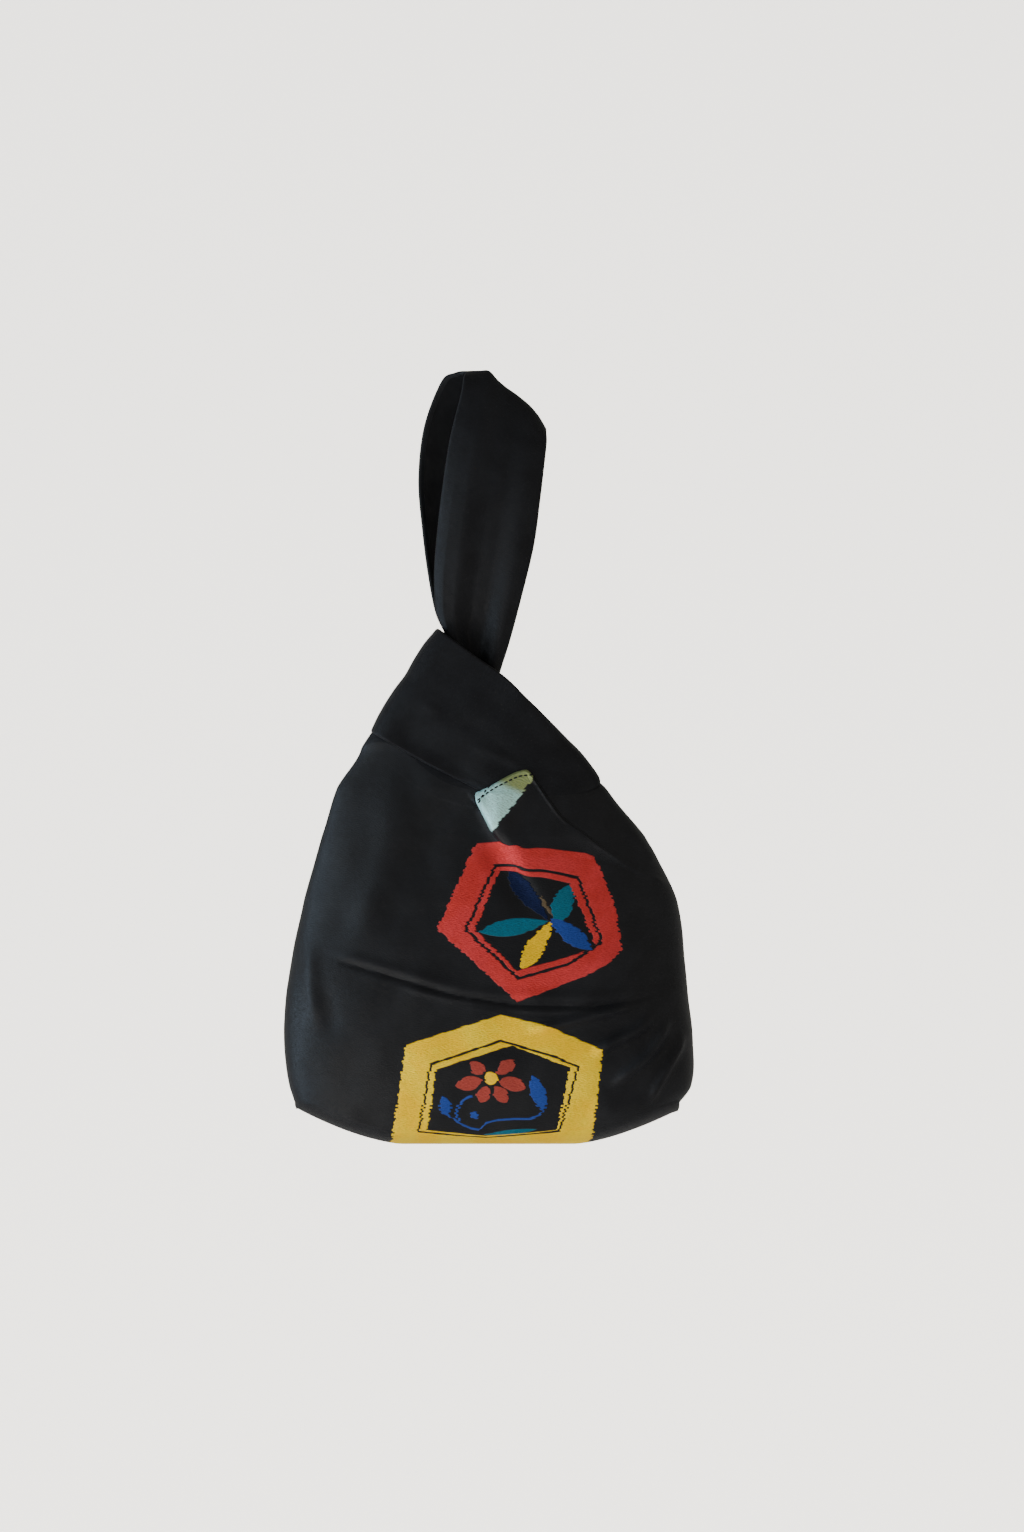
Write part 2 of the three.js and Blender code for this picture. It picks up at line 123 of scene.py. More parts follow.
def through(points: Sequence[Sequence[float]], t: Array) -> Array:
    """Smooth curve through equally spaced points.

    Args:
        points: Rows of values that the curve passes through.
        t: Places along the curve, from 0 to 1.

    Returns:
        The curve's values, one row for each t.
    """
    rows = np.asarray(points, float)
    padded = np.vstack([2 * rows[0] - rows[1], rows, 2 * rows[-1] - rows[-2]])
    place = np.clip(np.asarray(t, float), 0.0, 1.0) * (len(rows) - 1)
    k = np.minimum(place.astype(int), len(rows) - 2)
    f = (place - k)[..., None]
    a, b, c, d = (padded[k + i] for i in range(4))
    return 0.5 * (2 * b + (c - a) * f + (2 * a - 5 * b + 4 * c - d) * f**2
                  + (3 * b - a - 3 * c + d) * f**3)


# Waves of uneven cloth: turn for each millimetre of x, y and height, and start.
WAVES = ((0.113, 0.04, 0.071, 0.3), (-0.061, 0.05, 0.139, 1.9), (0.197, -0.03, 0.043, 4.1),
         (0.031, 0.06, -0.227, 2.7), (-0.241, 0.02, 0.118, 5.2))


def ripple(points: Array, height: float) -> Array:
    """Slight unevenness of hanging cloth, from a few crossing waves.

    Args:
        points: Points in millimetres.
        height: About the height of the waves.

    Returns:
        The lift of each point.
    """
    x, y, z = points[..., 0], points[..., 1], points[..., 2]
    total = sum(np.sin(a * x + b * y + c * z + start) for a, b, c, start in WAVES)
    return height * total / 2


def lengths_along(path: Array) -> Array:
    """Distance of each point of a path from its start."""
    steps = np.linalg.norm(np.diff(path, axis=0), axis=-1)
    return np.concatenate([[0.0], np.cumsum(steps)])


def sampled(path: Array, along: Array, at: Array) -> Array:
    """Points of a path at some places, where its own points stand at along."""
    return np.stack([np.interp(at, along, path[:, k]) for k in range(path.shape[1])], axis=-1)


def respaced(path: Array, count: int) -> Array:
    """The path again, with that many points at even distances."""
    along = lengths_along(path)
    return sampled(path, along, np.linspace(0.0, along[-1], count))


def unit(vectors: Array) -> Array:
    """The vectors at length one."""
    return vectors / np.linalg.norm(vectors, axis=-1, keepdims=True)


def matched(*values: Array | float) -> list[Array]:
    """The values as arrays of one shape."""
    return list(np.broadcast_arrays(*(np.asarray(value, float) for value in values)))


def grid_normals(grid: Array) -> Array:
    """Unit normals of a surface.

    Args:
        grid: Its points, rows by columns.

    Returns:
        One normal for each point.
    """
    across = np.gradient(grid, axis=1)
    along = np.gradient(grid, axis=0)
    normals = np.cross(across, along)
    size = np.linalg.norm(normals, axis=-1, keepdims=True)
    return normals / np.maximum(size, 1e-9)


@dataclass(frozen=True)
class PhotoView:
    """Where the photograph was taken from: straight in front of the bag.

    Distances are in millimetres, and the centre is the picture's middle as x and height.
    """

    distance: float = 1900.0
    centre_x: float = 14.6
    centre_height: float = 233.1
    picture_height: float = 949.8
    sensor: float = 36.0
    clip: Pair = (0.05, 60.0)

    def seen(self, points: Array) -> Array:
        """Where points appear on the plane through the side seams.

        Args:
            points: Points in millimetres.

        Returns:
            X and height of each.
        """
        scale = self.distance / (self.distance + points[..., 1])
        x = self.centre_x + (points[..., 0] - self.centre_x) * scale
        height = self.centre_height + (points[..., 2] - self.centre_height) * scale
        return np.stack([x, height], axis=-1)

    def unseen(self, spots: Array, y: Array) -> Array:
        """Points that appear at given spots.

        Args:
            spots: X and height on the plane through the side seams.
            y: Depth of each point.

        Returns:
            The points in millimetres.
        """
        y = np.asarray(y, float)
        scale = (self.distance + y) / self.distance
        x = self.centre_x + (spots[..., 0] - self.centre_x) * scale
        height = self.centre_height + (spots[..., 1] - self.centre_height) * scale
        return np.stack([x, np.broadcast_to(y, x.shape), height], axis=-1)

    def make_camera(self) -> None:
        """Adds the camera and makes it the scene's own."""
        place = to_row([self.centre_x, -self.distance, self.centre_height])
        bpy.ops.object.camera_add(location=place.tolist(), rotation=(math.pi / 2, 0.0, 0.0))
        camera = bpy.context.object
        camera.name = "photo_camera"
        camera.data.sensor_width = self.sensor
        camera.data.lens = self.sensor * self.distance / self.picture_height
        camera.data.clip_start, camera.data.clip_end = self.clip
        bpy.context.scene.camera = camera


VIEW = PhotoView()


@dataclass(frozen=True)
class Fold:
    """One fold of a wall's cloth, drawn as seen from in front.

    Attributes:
        path: Points of its line, as x and height.
        kind: How it shapes the cloth.
        height: How far it stands out.
        width: Half its width, or the run of a step.
        fade: Length over which it dies out at each end.
        reach: How far the raised side of a step reaches from its line.
        start_fade: Distances behind a step's start over which its raised side dies out.
        fineness: Points of the smooth line for each point of the path.
    """

    path: Line
    kind: FoldKind
    height: float
    width: float
    fade: float = 15.0
    reach: float = 25.0
    start_fade: Pair = (2.0, 18.0)
    fineness: int = 8

    def lift(self, spots: Array) -> Array:
        """How far the fold lifts each spot.

        Args:
            spots: Places as seen, in rows of x and height.

        Returns:
            One lift for each spot, outward positive.
        """
        line = through(self.path, np.linspace(0.0, 1.0, self.fineness * len(self.path)))
        along = lengths_along(line)
        best = np.full(len(spots), np.inf)
        signed = np.zeros(len(spots))
        where = np.zeros(len(spots))
        for k in range(len(line) - 1):
            step = line[k + 1] - line[k]
            size = max(float(step @ step), 1e-9)
            rel = spots - line[k]
            t = np.clip(rel @ step / size, 0.0, 1.0)
            away = np.linalg.norm(rel - t[:, None] * step, axis=1)
            nearer = away < best
            best = np.where(nearer, away, best)
            side = np.sign(step[0] * rel[:, 1] - step[1] * rel[:, 0])
            signed = np.where(nearer, side * away, signed)
            where = np.where(nearer, along[k] + t * math.sqrt(size), where)
        last = smoothstep(along[-1] - where, 0.0, self.fade)
        if self.kind is STEP:
            rise = smoothstep(signed, -self.width, self.width)
            gone = 1.0 - smoothstep(signed, self.width, self.reach)
            ahead = unit(line[1] - line[0])
            first = 1.0 - smoothstep((line[0] - spots) @ ahead, *self.start_fade)
            return self.height * rise * gone * last * first
        ends = smoothstep(where, 0.0, self.fade) * last
        bump = self.height * ends * np.exp(-((best / self.width) ** 2))
        return -bump if self.kind is GROOVE else bump


@dataclass(frozen=True)
class Relief:
    """All the folds of one side of the bag together."""

    folds: tuple[Fold, ...]

    def lift(self, points: Array) -> Array:
        """Outward lift of a surface.

        Args:
            points: Its points in millimetres, in any number of rows.

        Returns:
            The lift of each point.
        """
        spots = VIEW.seen(points).reshape(-1, 2)
        total = sum(fold.lift(spots) for fold in self.folds)
        return np.asarray(total).reshape(points.shape[:-1])


FRONT_RELIEF = Relief((
    # The crease from storing the bag folded, its two lips and a finer crease below it.
    Fold(((-99.5, 114.1), (-48.7, 99.2), (-22.6, 91.5), (-5.3, 88.6), (18.3, 85.2), (62.9, 84.3),
         (90.8, 88), (112, 95)), GROOVE, 1.3, 1.8, 22),
    Fold(((-104, 120), (-50, 104.5), (-5, 93), (62.9, 90), (95, 94)), RIDGE, 0.8, 3.4, 25),
    Fold(((-60, 98), (-12, 85.5), (20, 80.5), (64, 80), (92, 83.5)), RIDGE, 0.9, 2, 20),
    Fold(((-30, 88.5), (0, 83.2), (30, 79), (70, 80.2)), GROOVE, 0.8, 1.2, 15),
    # Folds that fan out from the lower right corner.
    Fold(((22, 69), (44.3, 73.2), (74.1, 80.5), (92, 86)), RIDGE, 3, 3.2, 16),
    Fold(((62, 52), (76, 61.4), (92, 69.5), (105, 82)), RIDGE, 4, 3.5, 16),
    Fold(((74, 33), (84, 41), (98.3, 53.5), (107, 67), (113, 80)), RIDGE, 4, 3.2, 16),
    Fold(((98, 22), (110, 44.6), (117, 58), (121.5, 70)), RIDGE, 3.2, 2.8, 14),
    Fold(((60, 18), (85, 20), (108, 28)), RIDGE, 1.6, 7, 16),
    Fold(((58, 100), (70, 108), (82, 122)), RIDGE, 1.3, 6, 16),
    # Dents beside the left seam and the long folds that hang from the mouth there.
    Fold(((-110, 128), (-110, 97.3), (-105.7, 66)), RIDGE, 2, 5, 20),
    Fold(((-100, 104), (-99, 84), (-96, 60)), GROOVE, 1.3, 6.5, 18),
    Fold(((-52, 222), (-62, 188), (-72.5, 148), (-77, 112)), RIDGE, 2, 11, 30),
    Fold(((-30, 214), (-38, 182), (-44, 150)), GROOVE, 1.7, 12, 28),
    # The lobe of cloth that hangs from the pinched neckline, and the hollow beside it.
    Fold(((-4, 204), (3, 194), (10, 184.5), (14, 178.5), (18.5, 169.5), (25, 160.5), (32, 152),
         (40, 138)), STEP, 2.8, 5, 42, 46),
    Fold(((-16, 208), (-4, 190), (5, 176), (12, 164), (22, 150), (30, 136)), GROOVE, 2, 7.5, 22),
    # Folds of the right shoulder.
    Fold(((60, 212), (78, 196), (96, 172)), GROOVE, 1.6, 9, 20),
    Fold(((62, 188.5), (68, 183.5), (78.4, 177.3), (93.3, 168), (103.2, 163.7), (112, 158.5)),
         RIDGE, 0.9, 1.8, 9),
    Fold(((86, 197), (92, 188.3), (98.5, 179.5), (103, 170)), RIDGE, 1.2, 3.6, 9),
    # Slight folds of the keeper's band.
    Fold(((24, 230), (6, 240), (-14, 246)), RIDGE, 0.6, 3, 12),
    Fold(((18, 236), (0, 252), (-22, 262)), GROOVE, 0.5, 5, 14),
    Fold(((-28, 266), (-44, 272)), RIDGE, 0.6, 3, 8),
    # The soft bulge and hollow above the base.
    Fold(((-60, 54), (-20, 46), (30, 48)), RIDGE, 1.1, 10, 30),
    Fold(((-80, 24), (-30, 18), (30, 20)), GROOVE, 0.9, 8, 30),
))

BACK_RELIEF = Relief((
    Fold(((-99.5, 112), (-22.6, 96), (62.9, 92), (112, 104)), GROOVE, 0.8, 2, 22),
    Fold(((-60, 206), (-40, 160), (-30, 110)), RIDGE, 2.2, 14, 30),
    Fold(((66, 200), (72, 150), (84, 104)), GROOVE, 2, 13, 30),
    Fold(((-74, 33), (-98.3, 53.5), (-113, 80)), RIDGE, 1.8, 4.5, 16),
    Fold(((74, 30), (96, 50), (108, 78)), RIDGE, 1.8, 5, 16),
    Fold(((-20, 60), (30, 66), (70, 60)), RIDGE, 1, 8, 20),
))


def relief_of(side: Side) -> Relief:
    """The folds of the front or of the back cloth."""
    return FRONT_RELIEF if side is Side.FRONT else BACK_RELIEF


@dataclass(frozen=True)
class PouchForm:
    """The pouch's outside: a rounded box that narrows towards its mouth.

    The outline's rows are height, left edge, right edge, half depth and squareness. The first
    four are shares of the shoulder height, half the width, half the width and half the depth.
    """

    width: float = 253.0
    depth: float = 100.0
    shoulder: float = 243.0
    outline: tuple[tuple[float, ...], ...] = (
        (0.025, -0.905, 0.875, 0.80, 3.9),
        (0.078, -0.930, 0.892, 0.915, 3.9),
        (0.147, -0.966, 0.992, 0.98, 3.7),
        (0.247, -0.997, 1.0, 1.0, 3.4),
        (0.412, -0.98, 0.968, 0.92, 3.0),
        (0.617, -0.905, 0.925, 0.72, 2.6),
        (0.782, -0.818, 0.767, 0.52, 2.4),
        (0.905, -0.747, 0.581, 0.37, 2.2),
        (1.0, -0.632, 0.522, 0.30, 2.2),
    )
    mouth: tuple[float, ...] = (0.9975, 1.0144, 0.899, 0.889, 0.928)
    flat_half: float = 53.0
    end_rise: float = 26.0
    end_curve: float = 1.5
    edge_lift: float = 12.0
    edge_run: float = 0.9
    base_squareness: float = 2.3
    base_turn: float = 1.344
    seam_depth: float = 1.1
    seam_width: float = 2.4
    seam_hold: float = 9.0
    shoulder_fill: float = 2.2
    fill_heights: Pair = (0.74, 1.0)
    fill_sides: Pair = (0.44, 0.62)
    notch_depth: float = 2.6
    notch_reach: float = 5.0
    notch_sides: Pair = (0.6, 0.93)
    ripple_height: float = 0.22
    rim_passes: int = 3
    fineness: int = 160

    def sections(self) -> Array:
        """The outline in millimetres, one row for each height."""
        scale = [self.shoulder, self.width / 2, self.width / 2, self.depth / 2, 1.0]
        return np.asarray(self.outline) * scale

    def value(self, column: int, height: Array) -> Array:
        """One column of the outline at each height, eased between its rows.

        Args:
            column: 1 left edge, 2 right edge, 3 half depth, 4 squareness.
            height: Heights above the base.

        Returns:
            The column's value at each height.
        """
        rows = self.sections()
        last = len(rows) - 1
        k = np.clip(np.searchsorted(rows[:, 0], height, side="right") - 1, 0, last - 1)
        low, high = rows[k, 0], rows[k + 1, 0]
        t = np.clip((height - low) / (high - low), 0.0, 1.0)
        start, end = rows[k, column], rows[k + 1, column]
        before = (end - rows[np.maximum(k - 1, 0), column]) / 2
        after = (rows[np.minimum(k + 2, last), column] - start) / 2
        ease = t * t * (3 - 2 * t)
        return lerp(start, end, ease) + before * t * (1 - t) ** 2 + after * t * t * (t - 1)

    def base_height(self, x: Array) -> Array:
        """Height of the base's underside at x."""
        past = np.maximum(np.abs(x) - self.flat_half, 0) / (self.width / 2 - self.flat_half)
        return self.end_rise * past**self.end_curve

    def plan_x(self, u: Array, height: Array) -> Array:
        """X of the wall.

        Args:
            u: From the left seam (0) to the right seam (1).
            height: Heights above the base.

        Returns:
            The x of each place.
        """
        left, right = self.value(1, height), self.value(2, height)
        turn = np.cos(np.pi * (1 - u))
        power = 2 / self.value(4, height)
        return (left + right) / 2 + (right - left) / 2 * np.sign(turn) * np.abs(turn) ** power

    def rim_lift(self, u: Array) -> Array:
        """How far the base curls up to its rim, less where the bag is narrow.

        Args:
            u: From the left seam (0) to the right seam (1).

        Returns:
            The lift of each place.
        """
        power = 2 / self.sections()[0, 4]
        bow = np.abs(np.sin(np.pi * (1 - u))) ** power
        return self.edge_lift * smoothstep(bow, 0.0, self.edge_run)

    def rim_height(self, u: Array) -> Array:
        """Height of the seam between wall and base.

        Args:
            u: From the left seam (0) to the right seam (1).

        Returns:
            The height of each place.
        """
        rim = np.full_like(np.asarray(u, float), self.sections()[0, 0])
        for _ in range(self.rim_passes):
            rim = self.base_height(self.plan_x(u, rim)) + self.rim_lift(u)
        return rim

    def mouth_height(self, u: Array) -> Array:
        """Height of the mouth edge."""
        heights = np.asarray(self.mouth)[:, None] * self.shoulder
        return through(heights, u)[..., 0]

    def wall(self, side: Side, u: Array, v: Array) -> Array:
        """Points of the smooth wall, before its folds.

        Args:
            side: Front or back.
            u: From the left seam (0) to the right seam (1).
            v: From the base's rim (0) to the mouth edge (1).

        Returns:
            Points in millimetres.
        """
        u, v = matched(u, v)
        height = lerp(self.rim_height(u), self.mouth_height(u), v)
        x = self.plan_x(u, height)
        bow = np.abs(np.sin(np.pi * (1 - u))) ** (2 / self.value(4, height))
        y = self.value(3, height) * bow
        middle = (self.value(1, height) + self.value(2, height)) / 2
        pinch = self.seam_depth * np.exp(-((y / self.seam_width) ** 2))
        below = (self.shoulder * self.mouth[-1] - height) / self.notch_reach
        pinch = pinch + (self.notch_depth * np.exp(-(below**2))
                         * smoothstep(u, *self.notch_sides))
        return np.stack([x - np.sign(x - middle) * pinch, side.value * y, height], axis=-1)

    def outward(self, side: Side, u: Array, height: Array) -> Array:
        """Outward direction of the wall, level with the ground.

        Args:
            side: Front or back.
            u: From the left seam (0) to the right seam (1).
            height: Heights above the base.

        Returns:
            One unit vector for each place.
        """
        turn = np.pi * (1 - u)
        power = 2 - 2 / self.value(4, height)
        half = (self.value(2, height) - self.value(1, height)) / 2
        x = np.sign(np.cos(turn)) * np.abs(np.cos(turn)) ** power / half
        y = side.value * np.abs(np.sin(turn)) ** power / self.value(3, height)
        size = np.hypot(x, y)
        return np.stack([x / size, y / size, np.zeros_like(x)], axis=-1)

    def folded_wall(self, side: Side, u: Array, v: Array) -> Array:
        """Points of the wall with its folds.

        Args:
            side: Front or back.
            u: From the left seam (0) to the right seam (1).
            v: From the base's rim (0) to the mouth edge (1).

        Returns:
            Points in millimetres.
        """
        u, v = matched(u, v)
        points = self.wall(side, u, v)
        lift = relief_of(side).lift(points) + ripple(points, self.ripple_height)
        lift = lift + (self.shoulder_fill * smoothstep(v, *self.fill_heights)
                       * smoothstep(u, *self.fill_sides))
        lift = lift * smoothstep(np.abs(points[..., 1]), 0.0, self.seam_hold)
        return points + lift[..., None] * self.outward(side, u, points[..., 2])

    def even_shares(self, shares: Array, v: float) -> Array:
        """The wall's u at shares of the length of one of its rows.

        Args:
            shares: Shares of the length, from the left seam.
            v: The row, from the base's rim (0) to the mouth edge (1).

        Returns:
            The u of each share.
        """
        fine = 0.5 - 0.5 * np.cos(np.linspace(0, np.pi, self.fineness))
        fine = np.concatenate([fine / 2, 0.5 + fine[1:] / 2])
        along = lengths_along(self.wall(Side.FRONT, fine, np.full_like(fine, v)))
        return np.interp(np.asarray(shares) * along[-1], along, fine)

    def mouth_edge(self, side: Side, shares: Array) -> Array:
        """Points of the folded mouth edge, at shares of its length from the left seam."""
        u = self.even_shares(shares, 1.0)
        return self.folded_wall(side, u, np.ones_like(u))

    def base(self, u: Array, across: Array) -> Array:
        """Points of the base.

        Args:
            u: From the left seam (0) to the right seam (1).
            across: From the front rim (-1) to the back rim (1).

        Returns:
            Points in millimetres.
        """
        u, across = matched(u, across)
        zero = np.zeros_like(u)
        front = self.folded_wall(Side.FRONT, u, zero)
        back = self.folded_wall(Side.BACK, u, zero)
        rim = np.where((across < 0)[..., None], front, back)
        quarter, power = np.abs(across) * self.base_turn, 2 / self.base_squareness
        reach = (np.sin(quarter) / math.sin(self.base_turn)) ** power
        last = math.cos(self.base_turn) ** power
        drop = self.rim_lift(u) * (np.cos(quarter) ** power - last) / (1 - last)
        x = lerp((front[..., 0] + back[..., 0]) / 2, rim[..., 0], reach)
        return np.stack([x, rim[..., 1] * reach, rim[..., 2] - drop], axis=-1)


POUCH = PouchForm()


@dataclass(frozen=True)
class StrapForm:
    """The long strap: its foot at the mouth edge, its fold line and its loop.

    Stations count up the front leg and down the back leg. Each row is side, left edge across
    and up, right edge across and up, spread and cup. Across is in strap widths and up is in
    shares of the rise, both from the middle of the fold line. The keeper's grip gathers the
    legs in a trough between two humps, the valley, given as shares of the strap's width.
    """

    foot_x: float = -10.3
    foot_height: float = 303.0
    foot_slant: float = math.radians(36.6)
    foot_width: float = 44.0
    foot_radius: float = 4.0
    rise: float = 174.6
    width: float = 75.0
    spread: float = 12.5
    cup: float = 5.5
    crown_lifts: tuple[float, ...] = (0.0, 4.1, 8.0, 11.5, 9.7, 8.9, 9.0, 8.7, 7.8, 5.2, 0.0)
    crown_reach: float = 0.17
    trough: float = 6.2
    trough_share: float = 0.20
    valley: tuple[float, float, float, float] = (0.24, 0.49, 0.60, 0.86)
    valley_depth: float = 4.0
    valley_share: float = 0.36
    edge_share: float = 0.12
    leave_mouth: float = 0.25
    reach_fold: float = 0.3
    mouth_probe: float = 0.97
    crown_share: float = 0.05
    grip_run: Pair = (0.25, 1.0)
    last_share: float = 0.515
    hem: float = 0.018
    stations: tuple[tuple[float, ...], ...] = (
        (-1, -0.302, 0.150, 0.318, 0.034, 0.40, 0.07),
        (-1, -0.318, 0.275, 0.412, 0.183, 0.64, 0.55),
        (-1, -0.290, 0.430, 0.518, 0.372, 0.88, 0.91),
        (-1, -0.242, 0.596, 0.569, 0.533, 1.00, 1.00),
        (-1, -0.178, 0.762, 0.602, 0.664, 0.96, 0.73),
        (-1, -0.090, 0.911, 0.622, 0.745, 0.76, 0.27),
        (-1, -0.064, 0.976, 0.626, 0.777, 0.46, 0.05),
        (0, -0.062, 1.000, 0.625, 0.790, 0.00, 0.00),
        (1, -0.140, 1.003, 0.617, 0.773, 0.46, 0.05),
        (1, -0.258, 0.972, 0.604, 0.733, 0.76, 0.27),
        (1, -0.405, 0.813, 0.577, 0.641, 0.96, 0.73),
        (1, -0.456, 0.622, 0.531, 0.504, 1.00, 1.00),
        (1, -0.422, 0.435, 0.464, 0.338, 0.88, 0.91),
        (1, -0.374, 0.278, 0.377, 0.160, 0.64, 0.55),
        (1, -0.314, 0.150, 0.304, 0.023, 0.40, 0.07),
    )

    def along(self) -> Array:
        """Direction of the fold line, down to the right."""
        return np.array([math.cos(self.foot_slant), 0.0, -math.sin(self.foot_slant)])

    def up(self) -> Array:
        """Direction square to the fold line, up to the right."""
        return np.array([math.sin(self.foot_slant), 0.0, math.cos(self.foot_slant)])

    def foot(self, share: Array, y: float) -> Array:
        """Points of the fold line.

        Args:
            share: From its left end (0) to its right end (1).
            y: Depth of the line.

        Returns:
            Points in millimetres.
        """
        share = np.asarray(share, float)
        middle = np.array([self.foot_x, y, self.foot_height])
        return middle + (share[..., None] - 0.5) * self.foot_width * self.along()

    def loop(self, u: Array, v: Array) -> Array:
        """Points of the loop.

        Args:
            u: From its left edge (0) to its right edge (1).
            v: From the front foot (0) over the crown to the back foot (1).

        Returns:
            Points in millimetres.
        """
        u, v = matched(u, v)
        rows = np.asarray(self.stations)
        ends = [self.foot(np.array([0.0, 1.0]), side * self.foot_radius) for side in (-1, 1)]
        y = rows[:, 0] * rows[:, 5] * self.spread
        edges = []
        for edge, (across, up) in enumerate(((1, 2), (3, 4))):
            points = np.stack([self.foot_x + rows[:, across] * self.width, y,
                               self.foot_height + rows[:, up] * self.rise], axis=1)
            edges.append(np.vstack([ends[0][edge], points, ends[1][edge]]))
        left, right = (through(edge, v) for edge in edges)
        cups = np.concatenate([[0.0], rows[:, 0] * rows[:, 6], [0.0]])[:, None]
        cup = self.cup * through(cups, v)[..., 0]
        bow = np.sin(np.pi * u)
        near_crown = np.exp(-((2 * (v - 0.5) / self.crown_reach) ** 2))
        points = lerp(left, right, u[..., None])
        points[..., 1] += cup * bow
        lifts = through(np.asarray(self.crown_lifts)[:, None], u)[..., 0]
        points[..., 2] += lifts * near_crown
        return points

    def trough_at(self, u: Array, v: Array) -> Array:
        """Outward lift of the long folds that the grip of the keeper gathers in a leg.

        Args:
            u: From the strap's left edge (0) to its right edge (1).
            v: From the front foot (0) over the crown to the back foot (1).

        Returns:
            The lift of each place.
        """
        from_foot = np.minimum(v, 1 - v)
        tight = np.exp(-((from_foot / self.trough_share) ** 2))
        broad = np.exp(-((from_foot / self.valley_share) ** 2))
        valley = smoothstep(u, *self.valley[:2]) * (1 - smoothstep(u, *self.valley[2:]))
        humps = 1.0 - valley
        edges = np.sqrt(np.clip(np.minimum(u, 1 - u) / self.edge_share, 0.0, 1.0))
        return (self.trough * tight * humps * edges
                - self.valley_depth * (broad - tight) * valley)

    def leg_row(self, side: Side, w: Array, u: Array) -> Array:
        """Points of the strap's foot.

        Args:
            side: Front or back.
            w: From the mouth edge (0) up to the fold line (1).
            u: From the strap's left edge (0) to its right edge (1).

        Returns:
            Points in millimetres.
        """
        w, u = matched(w, u)
        start = POUCH.mouth_edge(side, u * self.last_share)
        end = self.foot(u, side.value * self.foot_radius)
        reach = np.linalg.norm(end - start, axis=-1, keepdims=True)
        across = POUCH.even_shares(u * self.last_share, 1.0)
        below = POUCH.wall(side, across, np.full_like(u, self.mouth_probe))
        upward = unit(POUCH.wall(side, across, np.ones_like(u)) - below)
        t = w[..., None]
        return (start * (1 - 3 * t**2 + 2 * t**3)
                + upward * reach * self.leave_mouth * (t - 2 * t**2 + t**3)
                + end * (3 * t**2 - 2 * t**3)
                + self.up() * reach * self.reach_fold * (t**3 - t**2))

    def grid(self, columns: int, foot_rows: int, loop_rows: int) -> Array:
        """The whole strap, from the front mouth edge round to the back mouth edge.

        Args:
            columns: Points across the strap.
            foot_rows: Rows from the mouth edge to the fold line.
            loop_rows: Rows of the loop.

        Returns:
            Points in millimetres, rows by columns.
        """
        u = np.linspace(self.hem, 1.0 - self.hem, columns)[None, :]
        foot = np.linspace(0.0, 1.0, foot_rows)[:-1, None]
        v = np.linspace(0.0, 1.0, loop_rows)[:, None]
        loop = self.loop(u, v)
        sign = np.where(v < 0.5, -1.0, 1.0)
        crown = 1 - np.exp(-(((v - 0.5) / self.crown_share) ** 2))
        loop[..., 1] += sign * crown * self.trough_at(u, v)
        front = self.leg_row(Side.FRONT, foot, u)
        back = self.leg_row(Side.BACK, foot, u)
        grip = self.trough_at(u, np.zeros((1, 1))) * smoothstep(foot, *self.grip_run)
        front[..., 1] -= grip
        back[..., 1] += grip
        return np.concatenate([front, loop, back[::-1]])


STRAP = StrapForm()


